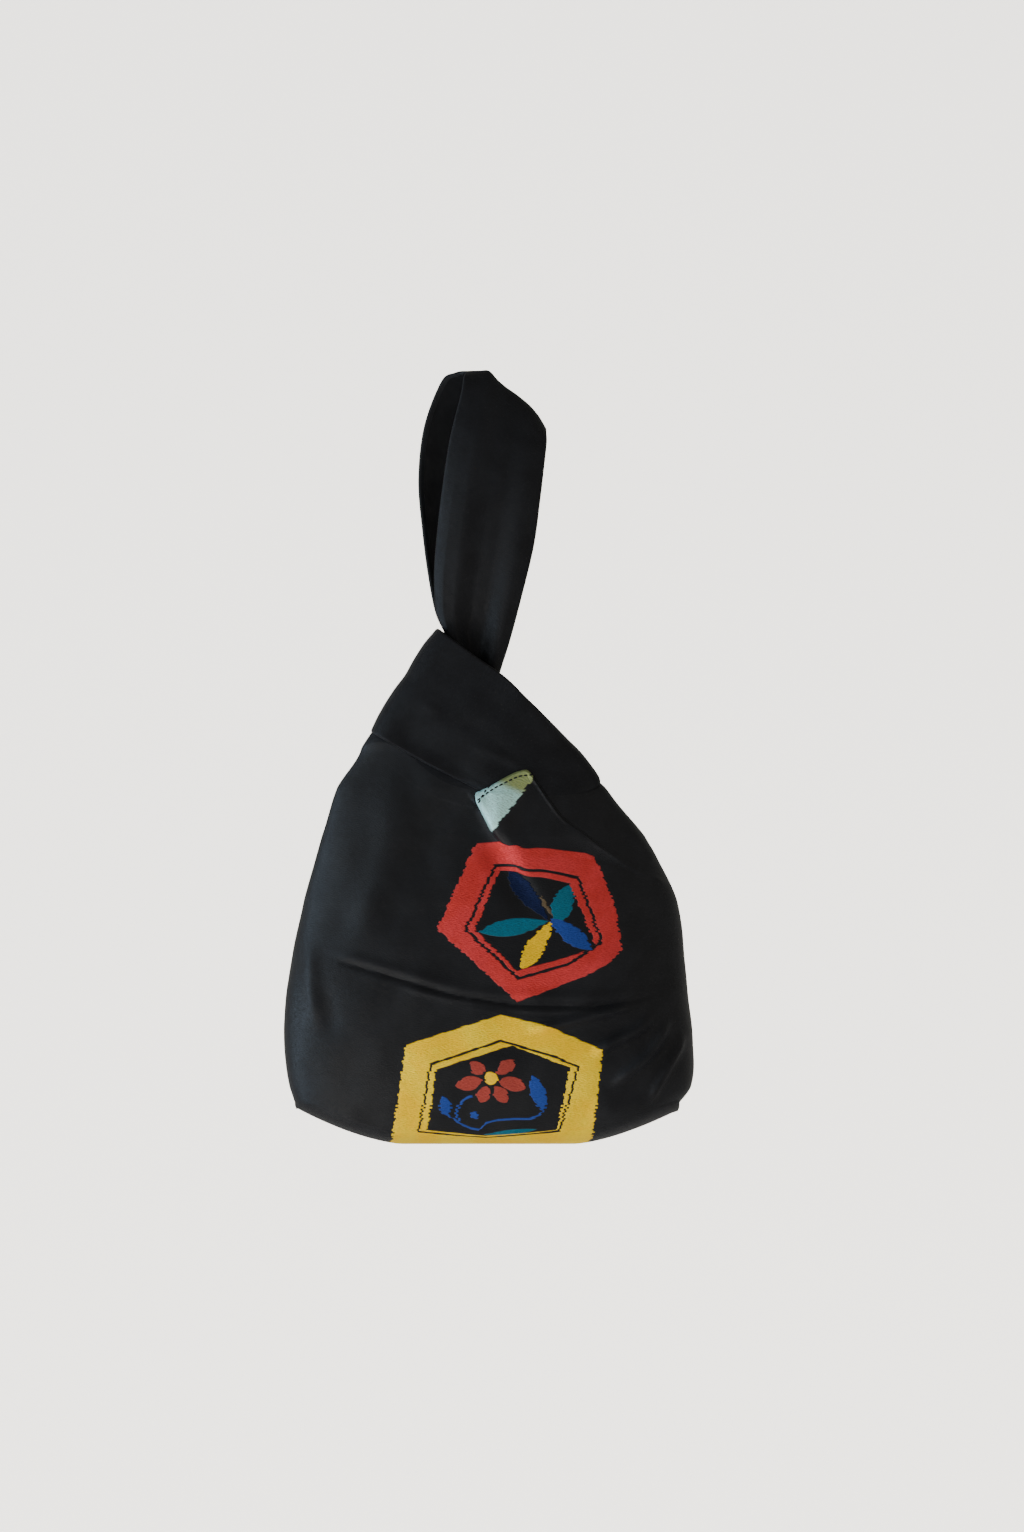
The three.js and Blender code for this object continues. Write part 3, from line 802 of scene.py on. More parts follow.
@dataclass(frozen=True)
class KeeperForm:
    """The short strap that folds round the long strap's foot and returns behind.

    Its edges and its fold are given as seen from in front, from the mouth edge to the fold and
    from the lower edge to the upper one.
    """

    first_share: float = 0.515
    upper: Line = (
        (66.9, 229.4), (58.6, 241.2), (48.1, 251.9), (32.6, 267.4), (22.0, 277.0), (9.8, 288.6),
        (-7.8, 301.0), (-20.2, 310.3))
    lower: Line = (
        (-10.2, 219.8), (-25.7, 228.2), (-41.2, 236.2), (-56.7, 244.9))
    fold: Line = (
        (-73.1, 254.2), (-68.9, 263.3), (-63.6, 272.6), (-57.7, 281.5), (-51.6, 289.6),
        (-46.8, 298.2), (-40.0, 308.8), (-31.6, 318.7))
    stand_low: float = 21.6
    stand_high: float = 20.4
    nose: float = 17.0
    nose_start: float = 0.76
    nose_squareness: float = 3.0
    ramp_low: float = 0.34
    ramp_high: float = 0.55
    slope_limits: Pair = (-0.2, 0.35)
    slope_probe: Pair = (0.01, 0.965)
    settle: float = 0.15
    nose_blend: float = 0.1
    least_stand: float = 6.0
    seen_depth: float = 17.0
    fineness: int = 200
    hem: float = 0.018

    def slopes(self, side: Side, shares: Array) -> tuple[Array, Array]:
        """How the wall's distance from the middle plane changes at the mouth edge.

        Args:
            side: Front or back.
            shares: Shares of the mouth edge's length, from the left seam.

        Returns:
            The change with x and the change with height, for each share.
        """
        left_step, down = self.slope_probe
        u = POUCH.even_shares(shares, 1.0)
        here = POUCH.mouth_edge(side, shares)
        below = POUCH.folded_wall(side, u, np.full_like(u, down))
        left = POUCH.mouth_edge(side, np.maximum(shares - left_step, 0.0))
        step_x = here[..., 0] - left[..., 0]
        slope_x = (np.abs(here[..., 1]) - np.abs(left[..., 1])) / np.maximum(step_x, 1e-3)
        rise = here[..., 2] - below[..., 2]
        slope_z = (np.abs(here[..., 1]) - np.abs(below[..., 1])
                   - slope_x * (here[..., 0] - below[..., 0])) / rise
        return slope_x, slope_z

    def borders(self, ends: Array) -> tuple[Array, Array, Array]:
        """The lines round the band, as x and height, with evenly spaced points.

        Args:
            ends: Where its lower and its upper edge leave the mouth edge.

        Returns:
            The lower edge, the upper edge and the fold.
        """
        at = np.linspace(0, 1, self.fineness)
        nearness = (VIEW.distance - self.seen_depth) / VIEW.distance
        centre = np.array([VIEW.centre_x, VIEW.centre_height])
        lines = []
        for first, points, last in ((ends[0], self.lower, self.fold[0]),
                                    (ends[1], self.upper, self.fold[-1])):
            middle = centre + (np.asarray(points) - centre) * nearness
            lines.append(np.vstack([first, middle, last]))
        low, high, fold = (respaced(through(line, at), len(at)) for line in (*lines, self.fold))
        return low, high, fold

    def band(self, side: Side, q: Array, p: Array) -> Array:
        """Points of one leg of the band.

        Args:
            side: Front or back.
            q: From the lower edge (0) to the upper edge (1), one row.
            p: From the mouth edge (0) to the fold (1), one column.

        Returns:
            Points in millimetres.
        """
        shares = lerp(self.first_share, 1.0, q)
        root = POUCH.mouth_edge(side, shares)
        ends = POUCH.mouth_edge(side, np.array([self.first_share, 1.0]))[:, [0, 2]]
        low, high, fold = self.borders(ends)
        at = np.linspace(0, 1, self.fineness)
        length = np.linalg.norm(sampled(fold, at, q) - root[..., [0, 2]], axis=-1)

        # Share of the way to the fold, with the rows of the rounded nose crowded at its end.
        nose_share = 1 - self.nose / length
        turn = np.clip((p - self.nose_start) / (1 - self.nose_start), 0.0, 1.0) * np.pi / 2
        power = 2 / self.nose_squareness
        past = p > self.nose_start
        share = np.where(past, nose_share + (1 - nose_share) * np.sin(turn) ** power,
                         p / self.nose_start * nose_share)

        # The band seen flat from in front, stretched between its four borders.
        t, f = (q + 0 * share)[..., None], share[..., None]
        near, far = root[..., [0, 2]] + 0 * t, sampled(fold, at, t[..., 0])
        low, high = sampled(low, at, share), sampled(high, at, share)
        flat = (lerp(low, high, t) + lerp(near, far, f)
                - lerp(lerp(ends[0], ends[1], t), lerp(fold[0], fold[-1], t), f))

        # How far it stands out from the middle plane.
        stand = lerp(self.stand_low, self.stand_high, q)
        run = lerp(self.ramp_low, self.ramp_high, q)
        slope_x, slope_z = self.slopes(side, shares)
        ahead = unit(flat[1] - flat[0])
        slope = np.clip(slope_x * ahead[:, 0] + slope_z * ahead[:, 1], *self.slope_limits)
        r = np.clip(share / run, 0.0, 1.0)
        out = (np.abs(root[..., 1]) * (2 * r**3 - 3 * r**2 + 1)
               + slope * run * length * (r**3 - 2 * r**2 + r) + stand * (3 * r**2 - 2 * r**3))
        out = np.where(past, stand * np.abs(np.cos(turn)) ** power, out)
        points = np.stack([flat[..., 0], side.value * out, flat[..., 1]], axis=-1)

        # Its folds, which start from those of the mouth edge.
        lift = relief_of(side).lift(points) + ripple(points, POUCH.ripple_height)
        known = relief_of(side).lift(root) + ripple(root, POUCH.ripple_height)
        gone = 1 - smoothstep(p, self.nose_start - self.nose_blend,
                              self.nose_start + self.nose_blend)
        hold = smoothstep(p, 0.0, self.settle)
        points[..., 1] += (side.value * (lift - known) * gone * hold
                           * smoothstep(out, 0.0, self.least_stand))
        return points

    def grid(self, columns: int, rows: int) -> Array:
        """The whole band, from the front mouth edge round the fold to the back.

        Args:
            columns: Points across the band.
            rows: Rows from the mouth edge to where the nose starts.

        Returns:
            Points in millimetres, rows by columns.
        """
        q = np.linspace(self.hem, 1.0 - self.hem, columns)[None, :]
        p = np.concatenate([
            np.linspace(0.0, self.nose_start, rows)[:-1],
            np.linspace(self.nose_start, 1.0, rows // 2),
        ])[:, None]
        front = self.band(Side.FRONT, q, p)
        back = self.band(Side.BACK, q, p)
        return np.concatenate([front, back[::-1][1:]])


KEEPER = KeeperForm()


class Value:
    """A number that flows through a material's nodes, for sums written as plain Python."""

    def __init__(self, nodes: "NodeMaker", socket: bpy.types.NodeSocket) -> None:
        """Wraps an output socket."""
        self.nodes = nodes
        self.socket = socket

    def _then(self, operation: str, *others: "float | Value") -> "Value":
        """Adds one Math node with this value first."""
        return self.nodes.maths(operation, self, *others)

    def __add__(self, other: "float | Value") -> "Value":
        """Sum."""
        return self._then("ADD", other)

    __radd__ = __add__

    def __sub__(self, other: "float | Value") -> "Value":
        """Difference."""
        return self._then("SUBTRACT", other)

    def __rsub__(self, other: "float | Value") -> "Value":
        """Difference with this value taken away."""
        return self.nodes.maths("SUBTRACT", other, self)

    def __mul__(self, other: "float | Value") -> "Value":
        """Product."""
        return self._then("MULTIPLY", other)

    __rmul__ = __mul__

    def __truediv__(self, other: "float | Value") -> "Value":
        """Quotient."""
        return self._then("DIVIDE", other)

    def __pow__(self, other: "float | Value") -> "Value":
        """Power."""
        return self._then("POWER", other)

    def lowest(self, other: "float | Value") -> "Value":
        """The lower of two values."""
        return self._then("MINIMUM", other)

    def highest(self, other: "float | Value") -> "Value":
        """The higher of two values."""
        return self._then("MAXIMUM", other)

    def size(self) -> "Value":
        """The value without its sign."""
        return self._then("ABSOLUTE")

    def floor(self) -> "Value":
        """The whole number below."""
        return self._then("FLOOR")

    def sine(self) -> "Value":
        """Sine of the value as an angle."""
        return self._then("SINE")

    def step(self, low: float, high: float) -> "Value":
        """Eased step from 0 at low to 1 at high."""
        return self.nodes.make("ShaderNodeMapRange", {"interpolation_type": "SMOOTHSTEP"},
                               {"Value": self, "From Min": low, "From Max": high})


# Numbers of the sockets that a Mix node uses for colours.
MIX_SHARE, MIX_FIRST, MIX_SECOND, MIX_RESULT = 0, 6, 7, 2


class NodeMaker:
    """Adds the nodes of one material."""

    def __init__(self, name: str) -> None:
        """Makes an empty material of that name."""
        self.material = bpy.data.materials.new(name)
        self.material.use_nodes = True
        self.tree = self.material.node_tree
        self.tree.nodes.clear()

    def add(self, kind: str, settings: dict | None = None,
            inputs: dict | None = None) -> bpy.types.Node:
        """Adds one node.

        Args:
            kind: The node's type.
            settings: Its properties, set first. A ramp's stops are given as "stops".
            inputs: Values, colours or links of its sockets, by name or number.

        Returns:
            The node.
        """
        node = self.tree.nodes.new(kind)
        for key, value in (settings or {}).items():
            if key == "stops":
                ramp = node.color_ramp
                while len(ramp.elements) < len(value):
                    ramp.elements.new(0.5)
                for element, (place, colour) in zip(ramp.elements, value):
                    element.position = place
                    element.color = (*colour, 1.0)
            else:
                setattr(node, key, value)
        for key, value in (inputs or {}).items():
            socket = node.inputs[key]
            if isinstance(value, Value):
                self.tree.links.new(value.socket, socket)
            else:
                socket.default_value = value
        return node

    def make(self, kind: str, settings: dict | None = None, inputs: dict | None = None,
             output: int | str = 0) -> Value:
        """Adds one node and gives one of its outputs, the first unless another is named."""
        return Value(self, self.add(kind, settings, inputs).outputs[output])

    def maths(self, operation: str, *values: float | Value) -> Value:
        """Adds a Math node."""
        return self.make("ShaderNodeMath", {"operation": operation}, dict(enumerate(values)))

    def map(self, name: str) -> tuple[Value, Value, Value]:
        """Reads one of the piece's own maps.

        Args:
            name: The map's name.

        Returns:
            Its vector, and the two parts of it.
        """
        vector = self.make("ShaderNodeUVMap", {"uv_map": name})
        parts = self.add("ShaderNodeSeparateXYZ", None, {0: vector}).outputs
        return vector, Value(self, parts[0]), Value(self, parts[1])

    def noise(self, vector: Value, scale: float, detail: float = 2.0) -> Value:
        """Smooth noise from 0 to 1."""
        return self.make("ShaderNodeTexNoise", {"noise_dimensions": "2D"},
                         {"Vector": vector, "Scale": scale, "Detail": detail})

    def mix(self, share: Value, low: Value | tuple, high: Value | tuple) -> Value:
        """Colour between two colours.

        Args:
            share: 0 for the first colour and 1 for the second.
            low: The first colour.
            high: The second colour.

        Returns:
            The mixed colour.
        """
        first, second = (c if isinstance(c, Value) else (*c, 1.0) for c in (low, high))
        return self.make("ShaderNodeMix", {"data_type": "RGBA"},
                         {MIX_SHARE: share, MIX_FIRST: first, MIX_SECOND: second}, MIX_RESULT)

    def finish(self, colour: Value | tuple, roughness: Value | float, height: Value,
               relief: float, sockets: dict[str, float | tuple | Value]) -> bpy.types.Material:
        """Adds the shader, its bump and the output.

        Args:
            colour: Base colour.
            roughness: Roughness.
            height: Height that the bump reads, in millimetres.
            relief: Share of the bump that is used.
            sockets: The shader's other values, the same all over.

        Returns:
            The finished material.
        """
        bump = self.make("ShaderNodeBump", None,
                         {"Strength": relief, "Distance": MM, "Height": height})
        base = colour if isinstance(colour, Value) else (*colour, 1.0)
        shader = self.make("ShaderNodeBsdfPrincipled", None,
                           {"Base Color": base, "Roughness": roughness, "Normal": bump, **sockets})
        self.add("ShaderNodeOutputMaterial", None, {"Surface": shader})
        return self.material


def highest(values: Sequence[Value]) -> Value:
    """The highest of some values."""
    return reduce(Value.highest, values)


@dataclass(frozen=True)
class Place:
    """A place on the pattern as a material's nodes know it, x across and y up."""

    nodes: NodeMaker
    x: Value
    y: Value

    def outside(self, corners: Sequence[Pair]) -> Value:
        """Distance outside a convex outline, negative inside.

        Args:
            corners: The outline's corners in order.

        Returns:
            The distance in millimetres.
        """
        points = np.asarray(corners, float)
        following = np.roll(points, -1, axis=0)
        turning = float(np.sum(points[:, 0] * following[:, 1] - points[:, 1] * following[:, 0]))
        edges = []
        for (ax, ay), (bx, by) in zip(points, following):
            length = math.hypot(bx - ax, by - ay) * math.copysign(1.0, turning)
            nx, ny = (by - ay) / length, (ax - bx) / length
            first = self.nodes.maths("MULTIPLY_ADD", self.x, nx, -(nx * ax + ny * ay))
            edges.append(self.nodes.maths("MULTIPLY_ADD", self.y, ny, first))
        return highest(edges)

    def away_from(self, spot: Pair) -> Value:
        """Distance from a spot."""
        return ((self.x - spot[0]) ** 2 + (self.y - spot[1]) ** 2) ** 0.5


def darker(colour: Colour, share: float) -> Colour:
    """That share of a colour."""
    return tuple(share * part for part in colour)


@dataclass(frozen=True)
class Leaf:
    """One leaf or petal of the woven figures, from its root to its tip."""

    root: Pair
    tip: Pair
    width: float
    colour: Colour
    widest: float = 1.0
    fullness: float = 0.75
    soft: Pair = (-0.02, -0.6)

    def mask(self, at: Place) -> Value:
        """Where the leaf is.

        Args:
            at: The place on the pattern.

        Returns:
            1 on the leaf and 0 off it.
        """
        (rx, ry), (tx, ty) = self.root, self.tip
        length = math.hypot(tx - rx, ty - ry)
        dx, dy = (tx - rx) / length, (ty - ry) / length
        along = at.nodes.maths("MULTIPLY_ADD", at.y, dy / length,
                               at.x * (dx / length) - (rx * dx + ry * dy) / length)
        across = at.nodes.maths("MULTIPLY_ADD", at.y, dx, at.x * -dy + (rx * dy - ry * dx)).size()
        bow = (along.highest(0.0).lowest(1.0) ** self.widest * math.pi).sine().highest(0.0)
        return (across - bow ** self.fullness * (self.width / 2)).step(*self.soft)


RED = (0.59, 0.050, 0.045)
# Painted sheen: the pink that the red frame passes into in cloudy patches.
PINK_SHEEN = (0.66, 0.062, 0.064)
GOLD = (1.0, 0.63, 0.003)
BLUE = (0.034, 0.076, 0.34)
# Painted shade: a darkened blue for the red figure's upper-left leaf, which lies in the shade of
# the fold above it.
SHADED_BLUE = (0.012, 0.018, 0.058)
PETAL = (0.42, 0.072, 0.058)
TEAL = (0.022, 0.160, 0.240)
TAN = (0.14, 0.10, 0.06)
BLACK = (0.0032, 0.0035, 0.0047)
LIT_BLACK = (0.0048, 0.0053, 0.0069)
SLUB_BLACK = (0.0085, 0.0090, 0.0110)


@dataclass(frozen=True)
class Hexagon:
    """A woven hexagon frame: its outer edge, the black line inside it and its black field.

    Attributes:
        outer: Corners of its outer edge.
        line: Corners of the line.
        field: Corners of the field.
        colour: Colour of the frame.
        other: The colour that it passes into in cloudy patches. For the red frame it is a painted
            pink sheen.
        leaves: Leaves and petals in the field.
        ruling: Half the width of the line.
    """

    outer: Line
    line: Line
    field: Line
    colour: Colour
    other: Colour
    leaves: tuple[Leaf, ...]
    ruling: float = 0.75
    soft: float = 0.35
    line_soft: float = 0.3
    line_inside: float = 0.4

    def lay(self, at: Place, frame_at: Place, ground: Value, cloudy: Value,
            weave: Value) -> tuple[Value, Value]:
        """Weaves the hexagon into a ground.

        Args:
            at: The place on the pattern, for the leaves.
            frame_at: The same for the frame.
            ground: Colour of the ground.
            cloudy: Slow change over the cloth.
            weave: Fine streaks of the woven thread.

        Returns:
            The new colour, and 1 where coloured thread shows.
        """
        nodes = at.nodes
        outer, line, field = map(frame_at.outside, (self.outer, self.line, self.field))
        # Cloudy patches of the frame's other colour, which for the red frame is a painted pink
        # sheen.
        clouded_frame = nodes.mix(cloudy.step(0.35, 0.65), self.colour, self.other)
        clouded_frame = nodes.mix(weave.step(0.35, 0.85) * 0.45, clouded_frame, darker(self.colour, 0.55))
        band = outer.step(self.soft, -self.soft)
        ruled = (line + self.line_inside).size() - self.ruling
        black = ruled.step(self.line_soft, -self.line_soft).highest(
            field.step(self.soft, -self.soft))
        colour = nodes.mix(black, nodes.mix(band, ground, clouded_frame), BLACK)
        shade = weave.step(0.3, 0.8) * 0.5
        masks = [leaf.mask(at) for leaf in self.leaves]
        for leaf, mask in zip(self.leaves, masks):
            toned = nodes.mix(shade, leaf.colour, darker(leaf.colour, 0.5))
            colour = nodes.mix(mask, colour, toned)
        return colour, highest([band * (1.0 - black), *masks])


RED_HEXAGON = Hexagon(
    ((-7.8, 185.1), (8.5, 186.3), (58.6, 179.2), (66.0, 176.7), (77.8, 148.2), (82.8, 119.7),
     (72.9, 109.7), (59.8, 102.9), (18.3, 86.8), (-31.9, 132.1)),
    ((3.7, 171.8), (16.7, 172.7), (55.9, 164.2), (70.7, 123.8), (48.9, 109.6), (18.5, 101.0),
     (-14.6, 131.6)),
    ((6.6, 168.3), (16.7, 168.9), (50.4, 160.3), (66.3, 122.6), (61.1, 118.0), (43.7, 113.2),
     (18.5, 105.3), (-8.6, 131.6)),
    # The red frame passes into a painted pink sheen in cloudy patches.
    RED, PINK_SHEEN,
    # The upper-left leaf takes the darkened blue as painted shade.
    (Leaf((37.4, 136.4), (12.0, 168.2), 11.5, SHADED_BLUE, 1.4, 0.7),
     Leaf((41.6, 136.6), (50.4, 159.2), 13.4, TEAL, 0.9, 0.6),
     Leaf((38.2, 136.9), (-6.2, 130.0), 11.2, TEAL, 1.15, 0.8),
     Leaf((39.4, 136.8), (20.6, 107.8), 11.6, GOLD, 1.4, 0.5),
     Leaf((38.0, 138.7), (64.0, 119.2), 11.6, BLUE, 1.1, 0.7),
     Leaf((31.6, 153.4), (39.4, 139.5), 3.0, TAN)),
    0.95,
)

GOLD_HEXAGON = Hexagon(
    ((-51.3, 60.1), (14.7, 81.2), (36.1, 72.0), (53.6, 67.8), (73.3, 57.0), (64.6, 3.0),
     (60.0, -38.0), (0.0, -70.0), (-64.0, -36.0), (-59.5, 3.3)),
    ((-36.3, 48.4), (14.4, 65.5), (42.3, 52.9), (56.7, 48.6), (54.8, 42.0), (48.5, 6.9),
     (-1.1, 0.4), (-43.5, 5.9)),
    ((-32.7, 45.1), (14.4, 60.0), (50.5, 46.2), (42.8, 7.4), (-1.1, 2.5), (-37.8, 7.4)),
    GOLD, (1.0, 0.71, 0.02),
    (Leaf((-2.6, 42.6), (-11.4, 49.2), 8.6, PETAL, 1.0, 0.6),
     Leaf((5.2, 42.4), (16.2, 50.6), 8.6, PETAL, 1.0, 0.6),
     Leaf((-4.0, 38.2), (-20.3, 34.5), 9.4, PETAL, 1.0, 0.6),
     Leaf((6.6, 38.0), (23.2, 33.9), 9.4, PETAL, 1.0, 0.6),
     Leaf((-0.7, 34.6), (-5.5, 24.6), 8.8, PETAL, 1.1, 0.6),
     Leaf((3.7, 34.6), (11.2, 24.6), 8.8, PETAL, 1.1, 0.6),
     Leaf((34.4, 19.0), (27.0, 41.6), 10.0, BLUE, 1.0, 0.75),
     Leaf((-25.1, 16.2), (-28.8, 28.6), 7.8, BLUE, 0.9, 0.7),
     Leaf((-2.8, 3.8), (31.5, 8.0), 3.8, TEAL, 0.9, 0.7)),
)


# The red hexagon again where the folded neckline shows it, without its leaves.
FOLDED_RED_HEXAGON = replace(
    RED_HEXAGON, leaves=(),
    outer=((14.0, 182.6), (20.0, 184.4), (58.6, 179.2), (66.0, 176.7), (77.8, 148.2),
           (60.0, 100.0), (10.0, 120.0)))


@dataclass(frozen=True)
class Vine:
    """The stem in the gold hexagon, with its curl and its dot, and the heart of the flower."""

    stem: Line = (
        (-27.6, 18.8), (-20.8, 13.6), (-15.6, 10.5), (-10.4, 8.5), (-5.3, 7.6), (-1.1, 11.8),
        (5.1, 13.6), (15.2, 14.3), (25.7, 14.3), (31.9, 16.7), (34.4, 19.2))
    top: float = 20.0
    stem_half: float = 0.55
    curl_centre: Pair = (-9.0, 18.0)
    curl_radius: float = 10.4
    curl_half: float = 0.65
    curl_right: float = -10.0
    curl_bottom: float = 13.0
    dot: Pair = (-8.4, 16.6)
    dot_radius: float = 2.3
    heart: Pair = (1.7, 39.5)
    heart_edge: Pair = (4.3, 3.7)
    soft: float = 0.3

    def mask(self, at: Place) -> Value:
        """Where the stem, the curl and the dot are.

        Args:
            at: The place on the pattern.

        Returns:
            1 on them and 0 off them.
        """
        low, high = self.stem[0][0], self.stem[-1][0]
        places = [((px - low) / (high - low), (py / self.top,) * 3) for px, py in self.stem]
        share = at.nodes.make("ShaderNodeMapRange", None,
                              {"Value": at.x, "From Min": low, "From Max": high})
        ramp = at.nodes.make("ShaderNodeValToRGB", {"stops": places}, {0: share})
        stem = (at.y - ramp * self.top).size() - self.stem_half
        ends = (at.x - (low + high) / 2).size() - (high - low) / 2
        ring = (at.away_from(self.curl_centre) - self.curl_radius).size() - self.curl_half
        curl = highest([ring, at.x - self.curl_right, self.curl_bottom - at.y])
        dot = at.away_from(self.dot) - self.dot_radius
        return stem.highest(ends).lowest(curl).lowest(dot).step(self.soft, -self.soft)

    def lay(self, at: Place, ground: Value) -> tuple[Value, Value]:
        """Weaves the stem and the heart into a ground.

        Args:
            at: The place on the pattern.
            ground: Colour of the ground.

        Returns:
            The new colour, and 1 where coloured thread shows.
        """
        stem, heart = self.mask(at), at.away_from(self.heart).step(*self.heart_edge)
        colour = at.nodes.mix(heart, at.nodes.mix(stem, ground, BLUE), GOLD)
        return colour, stem.highest(heart)


@dataclass(frozen=True)
class GreenPatch:
    """The pale green woven figure that shows on the fold of the neckline."""

    corners: Line = (
        (-14.0, 214.0), (0.0, 224.0), (24.0, 235.0), (29.4, 227.6), (2.4, 192.4), (-14.0, 206.0))
    pale: Colour = (0.53, 0.85, 0.82)
    olive: Colour = (0.34, 0.40, 0.17)
    shade: Colour = (0.16, 0.22, 0.18)
    soft: float = 0.5
    lean: Pair = (0.41, 0.91)
    turn: Pair = (202.5, 208.5)

    def lay(self, at: Place, ground: Value, weave: Value) -> tuple[Value, Value]:
        """Weaves the figure into a ground, pale at its left and olive at its right.

        Args:
            at: The place on the pattern.
            ground: Colour of the ground.
            weave: Fine streaks of the woven thread.

        Returns:
            The new colour, and 1 where coloured thread shows.
        """
        mask = at.outside(self.corners).step(self.soft, -self.soft)
        olive = (at.x * self.lean[0] + at.y * self.lean[1]).step(*self.turn)
        toned = at.nodes.mix(olive, self.pale, self.olive)
        toned = at.nodes.mix(weave.step(0.4, 0.85) * 0.5, toned, self.shade)
        return at.nodes.mix(mask, ground, toned), mask


@dataclass(frozen=True)
class WovenSatin:
    """Black sash satin, with the woven figures where the cloth has them.

    The figures step sideways from row to row of the weave. Above kink_height the frames dip
    near dip_x, where the pinched neckline draws the cloth in. A noise is given as its scale
    and detail, streaks as their fineness across and along, and a relief in millimetres.
    """

    name: str
    hexagons: tuple[Hexagon, ...] = ()
    vine: Vine | None = None
    patch: GreenPatch | None = None
    roughness: float = 0.43
    specular: float = 0.205
    sheen: float = 0.006
    lustre: float = 0.9
    sheen_tint: Colour = (0.60, 0.68, 0.85)
    rib_spacing: float = 0.42
    row_height: float = 1.15
    row_step: float = 2.0
    kink_height: float = 150.0
    kink_run: float = 14.0
    dip_x: float = 23.0
    dip_width: float = 8.0
    dip_depth: float = 2.2
    fine_noise: Pair = (1.1, 1.0)
    cloud_noise: Pair = (0.045, 3.0)
    slub_streaks: Pair = (0.35, 2.4)
    weave_streaks: Pair = (0.5, 2.2)
    weave_turn: float = 0.5
    rib_relief: float = 0.02
    slub_relief: float = 0.14
    fine_relief: float = 0.06
    figure_relief: float = 0.30
    weave_relief: float = 0.35

    def streaks(self, nodes: NodeMaker, thread: Value, turn: float, scale: Pair) -> Value:
        """Noise that is drawn out along the cloth.

        Args:
            nodes: The material's node maker.
            thread: The cloth's own map.
            turn: Angle of the streaks.
            scale: Their fineness across and along.

        Returns:
            The noise, from 0 to 1.
        """
        laid = nodes.make("ShaderNodeMapping", None, {
            "Vector": thread, "Rotation": (0.0, 0.0, turn), "Scale": (*scale, 1.0)})
        return nodes.noise(laid, 1.0, 2.0)

    def figures(self, nodes: NodeMaker, ground: Value, cloudy: Value,
                weave: Value) -> tuple[Value, Value]:
        """Weaves all the figures into the black ground.

        Args:
            nodes: The material's node maker.
            ground: Colour of the ground.
            cloudy: Slow change over the cloth.
            weave: Fine streaks of the woven thread.

        Returns:
            The new colour, and 1 where coloured thread shows.
        """
        _, x, y = nodes.map(PRINT_MAP)
        kink = (y - self.kink_height).step(0.0, self.kink_run)
        row = nodes.make("ShaderNodeTexWhiteNoise", {"noise_dimensions": "1D"},
                         {"W": (y / self.row_height).floor()})
        x = x + (row - 0.5) * self.row_step
        dip = nodes.maths("EXPONENT", ((x - self.dip_x) / self.dip_width) ** 2 * -1.0)
        at = Place(nodes, x, y)
        frame_at = Place(nodes, x, y + dip * kink * self.dip_depth)
        colour, solids = ground, []
        for hexagon in self.hexagons:
            colour, solid = hexagon.lay(at, frame_at, colour, cloudy, weave)
            solids.append(solid)
        if self.vine:
            colour, solid = self.vine.lay(at, colour)
            solids.append(solid)
        if self.patch:
            colour, solid = self.patch.lay(at, colour, weave)
            solids.append(solid)
        return colour, highest(solids)

    def build(self) -> bpy.types.Material:
        """Makes the material.

        Returns:
            The finished material.
        """
        nodes = NodeMaker(self.name)
        thread, _, along = nodes.map(THREAD_MAP)
        fine = nodes.noise(thread, *self.fine_noise)
        cloudy = nodes.noise(thread, *self.cloud_noise)
        slub = self.streaks(nodes, thread, 0.0, self.slub_streaks)
        rib = (along * (math.pi * 2 / self.rib_spacing)).sine()
        height = (rib * self.rib_relief + (slub - 0.5) * self.slub_relief
                  + (fine - 0.5) * self.fine_relief)
        colour = nodes.mix(cloudy.step(0.3, 0.7), BLACK, LIT_BLACK)
        colour = nodes.mix(slub.step(0.45, 0.95) * 0.4, colour, SLUB_BLACK)
        roughness = (cloudy - 0.5) * 0.10 + (self.roughness + (slub - 0.5) * 0.08)
        metallic: Value | float = 0.0
        if self.hexagons:
            weave = self.streaks(nodes, thread, self.weave_turn, self.weave_streaks)
            colour, woven = self.figures(nodes, colour, cloudy, weave)
            roughness = roughness + woven * 0.14
            metallic = woven * self.lustre
            height = (height + woven * self.figure_relief
                      + woven * (weave - 0.5) * self.weave_relief)
        return nodes.finish(colour, roughness, height, 1.0, {
            "Metallic": metallic, "IOR": 1.5, "Specular IOR Level": self.specular,
            "Anisotropic": 0.25, "Sheen Weight": self.sheen, "Sheen Roughness": 0.42,
            "Sheen Tint": (*self.sheen_tint, 1.0),
        })


@dataclass(frozen=True)
class PlainCotton:
    """Matt black lining cotton."""

    name: str = "lining_cotton"
    colour: Colour = (0.0035, 0.0036, 0.0042)
    faded: Colour = (0.0060, 0.0061, 0.0070)
    thread_turn: float = 12.0
    roughness: float = 0.82

    def build(self) -> bpy.types.Material:
        """Makes the material.

        Returns:
            The finished material.
        """
        nodes = NodeMaker(self.name)
        thread, across, along = nodes.map(THREAD_MAP)
        weave = (across * self.thread_turn).sine() * (along * self.thread_turn).sine()
        cloudy = nodes.noise(thread, 0.06, 3.0)
        colour = nodes.mix(cloudy.step(0.3, 0.75), self.colour, self.faded)
        return nodes.finish(colour, (cloudy - 0.5) * 0.12 + self.roughness,
                            weave * 0.06 + cloudy * 0.2, 1.0,
                            {"Specular IOR Level": 0.08, "Sheen Weight": 0.015,
                             "Sheen Roughness": 0.6})


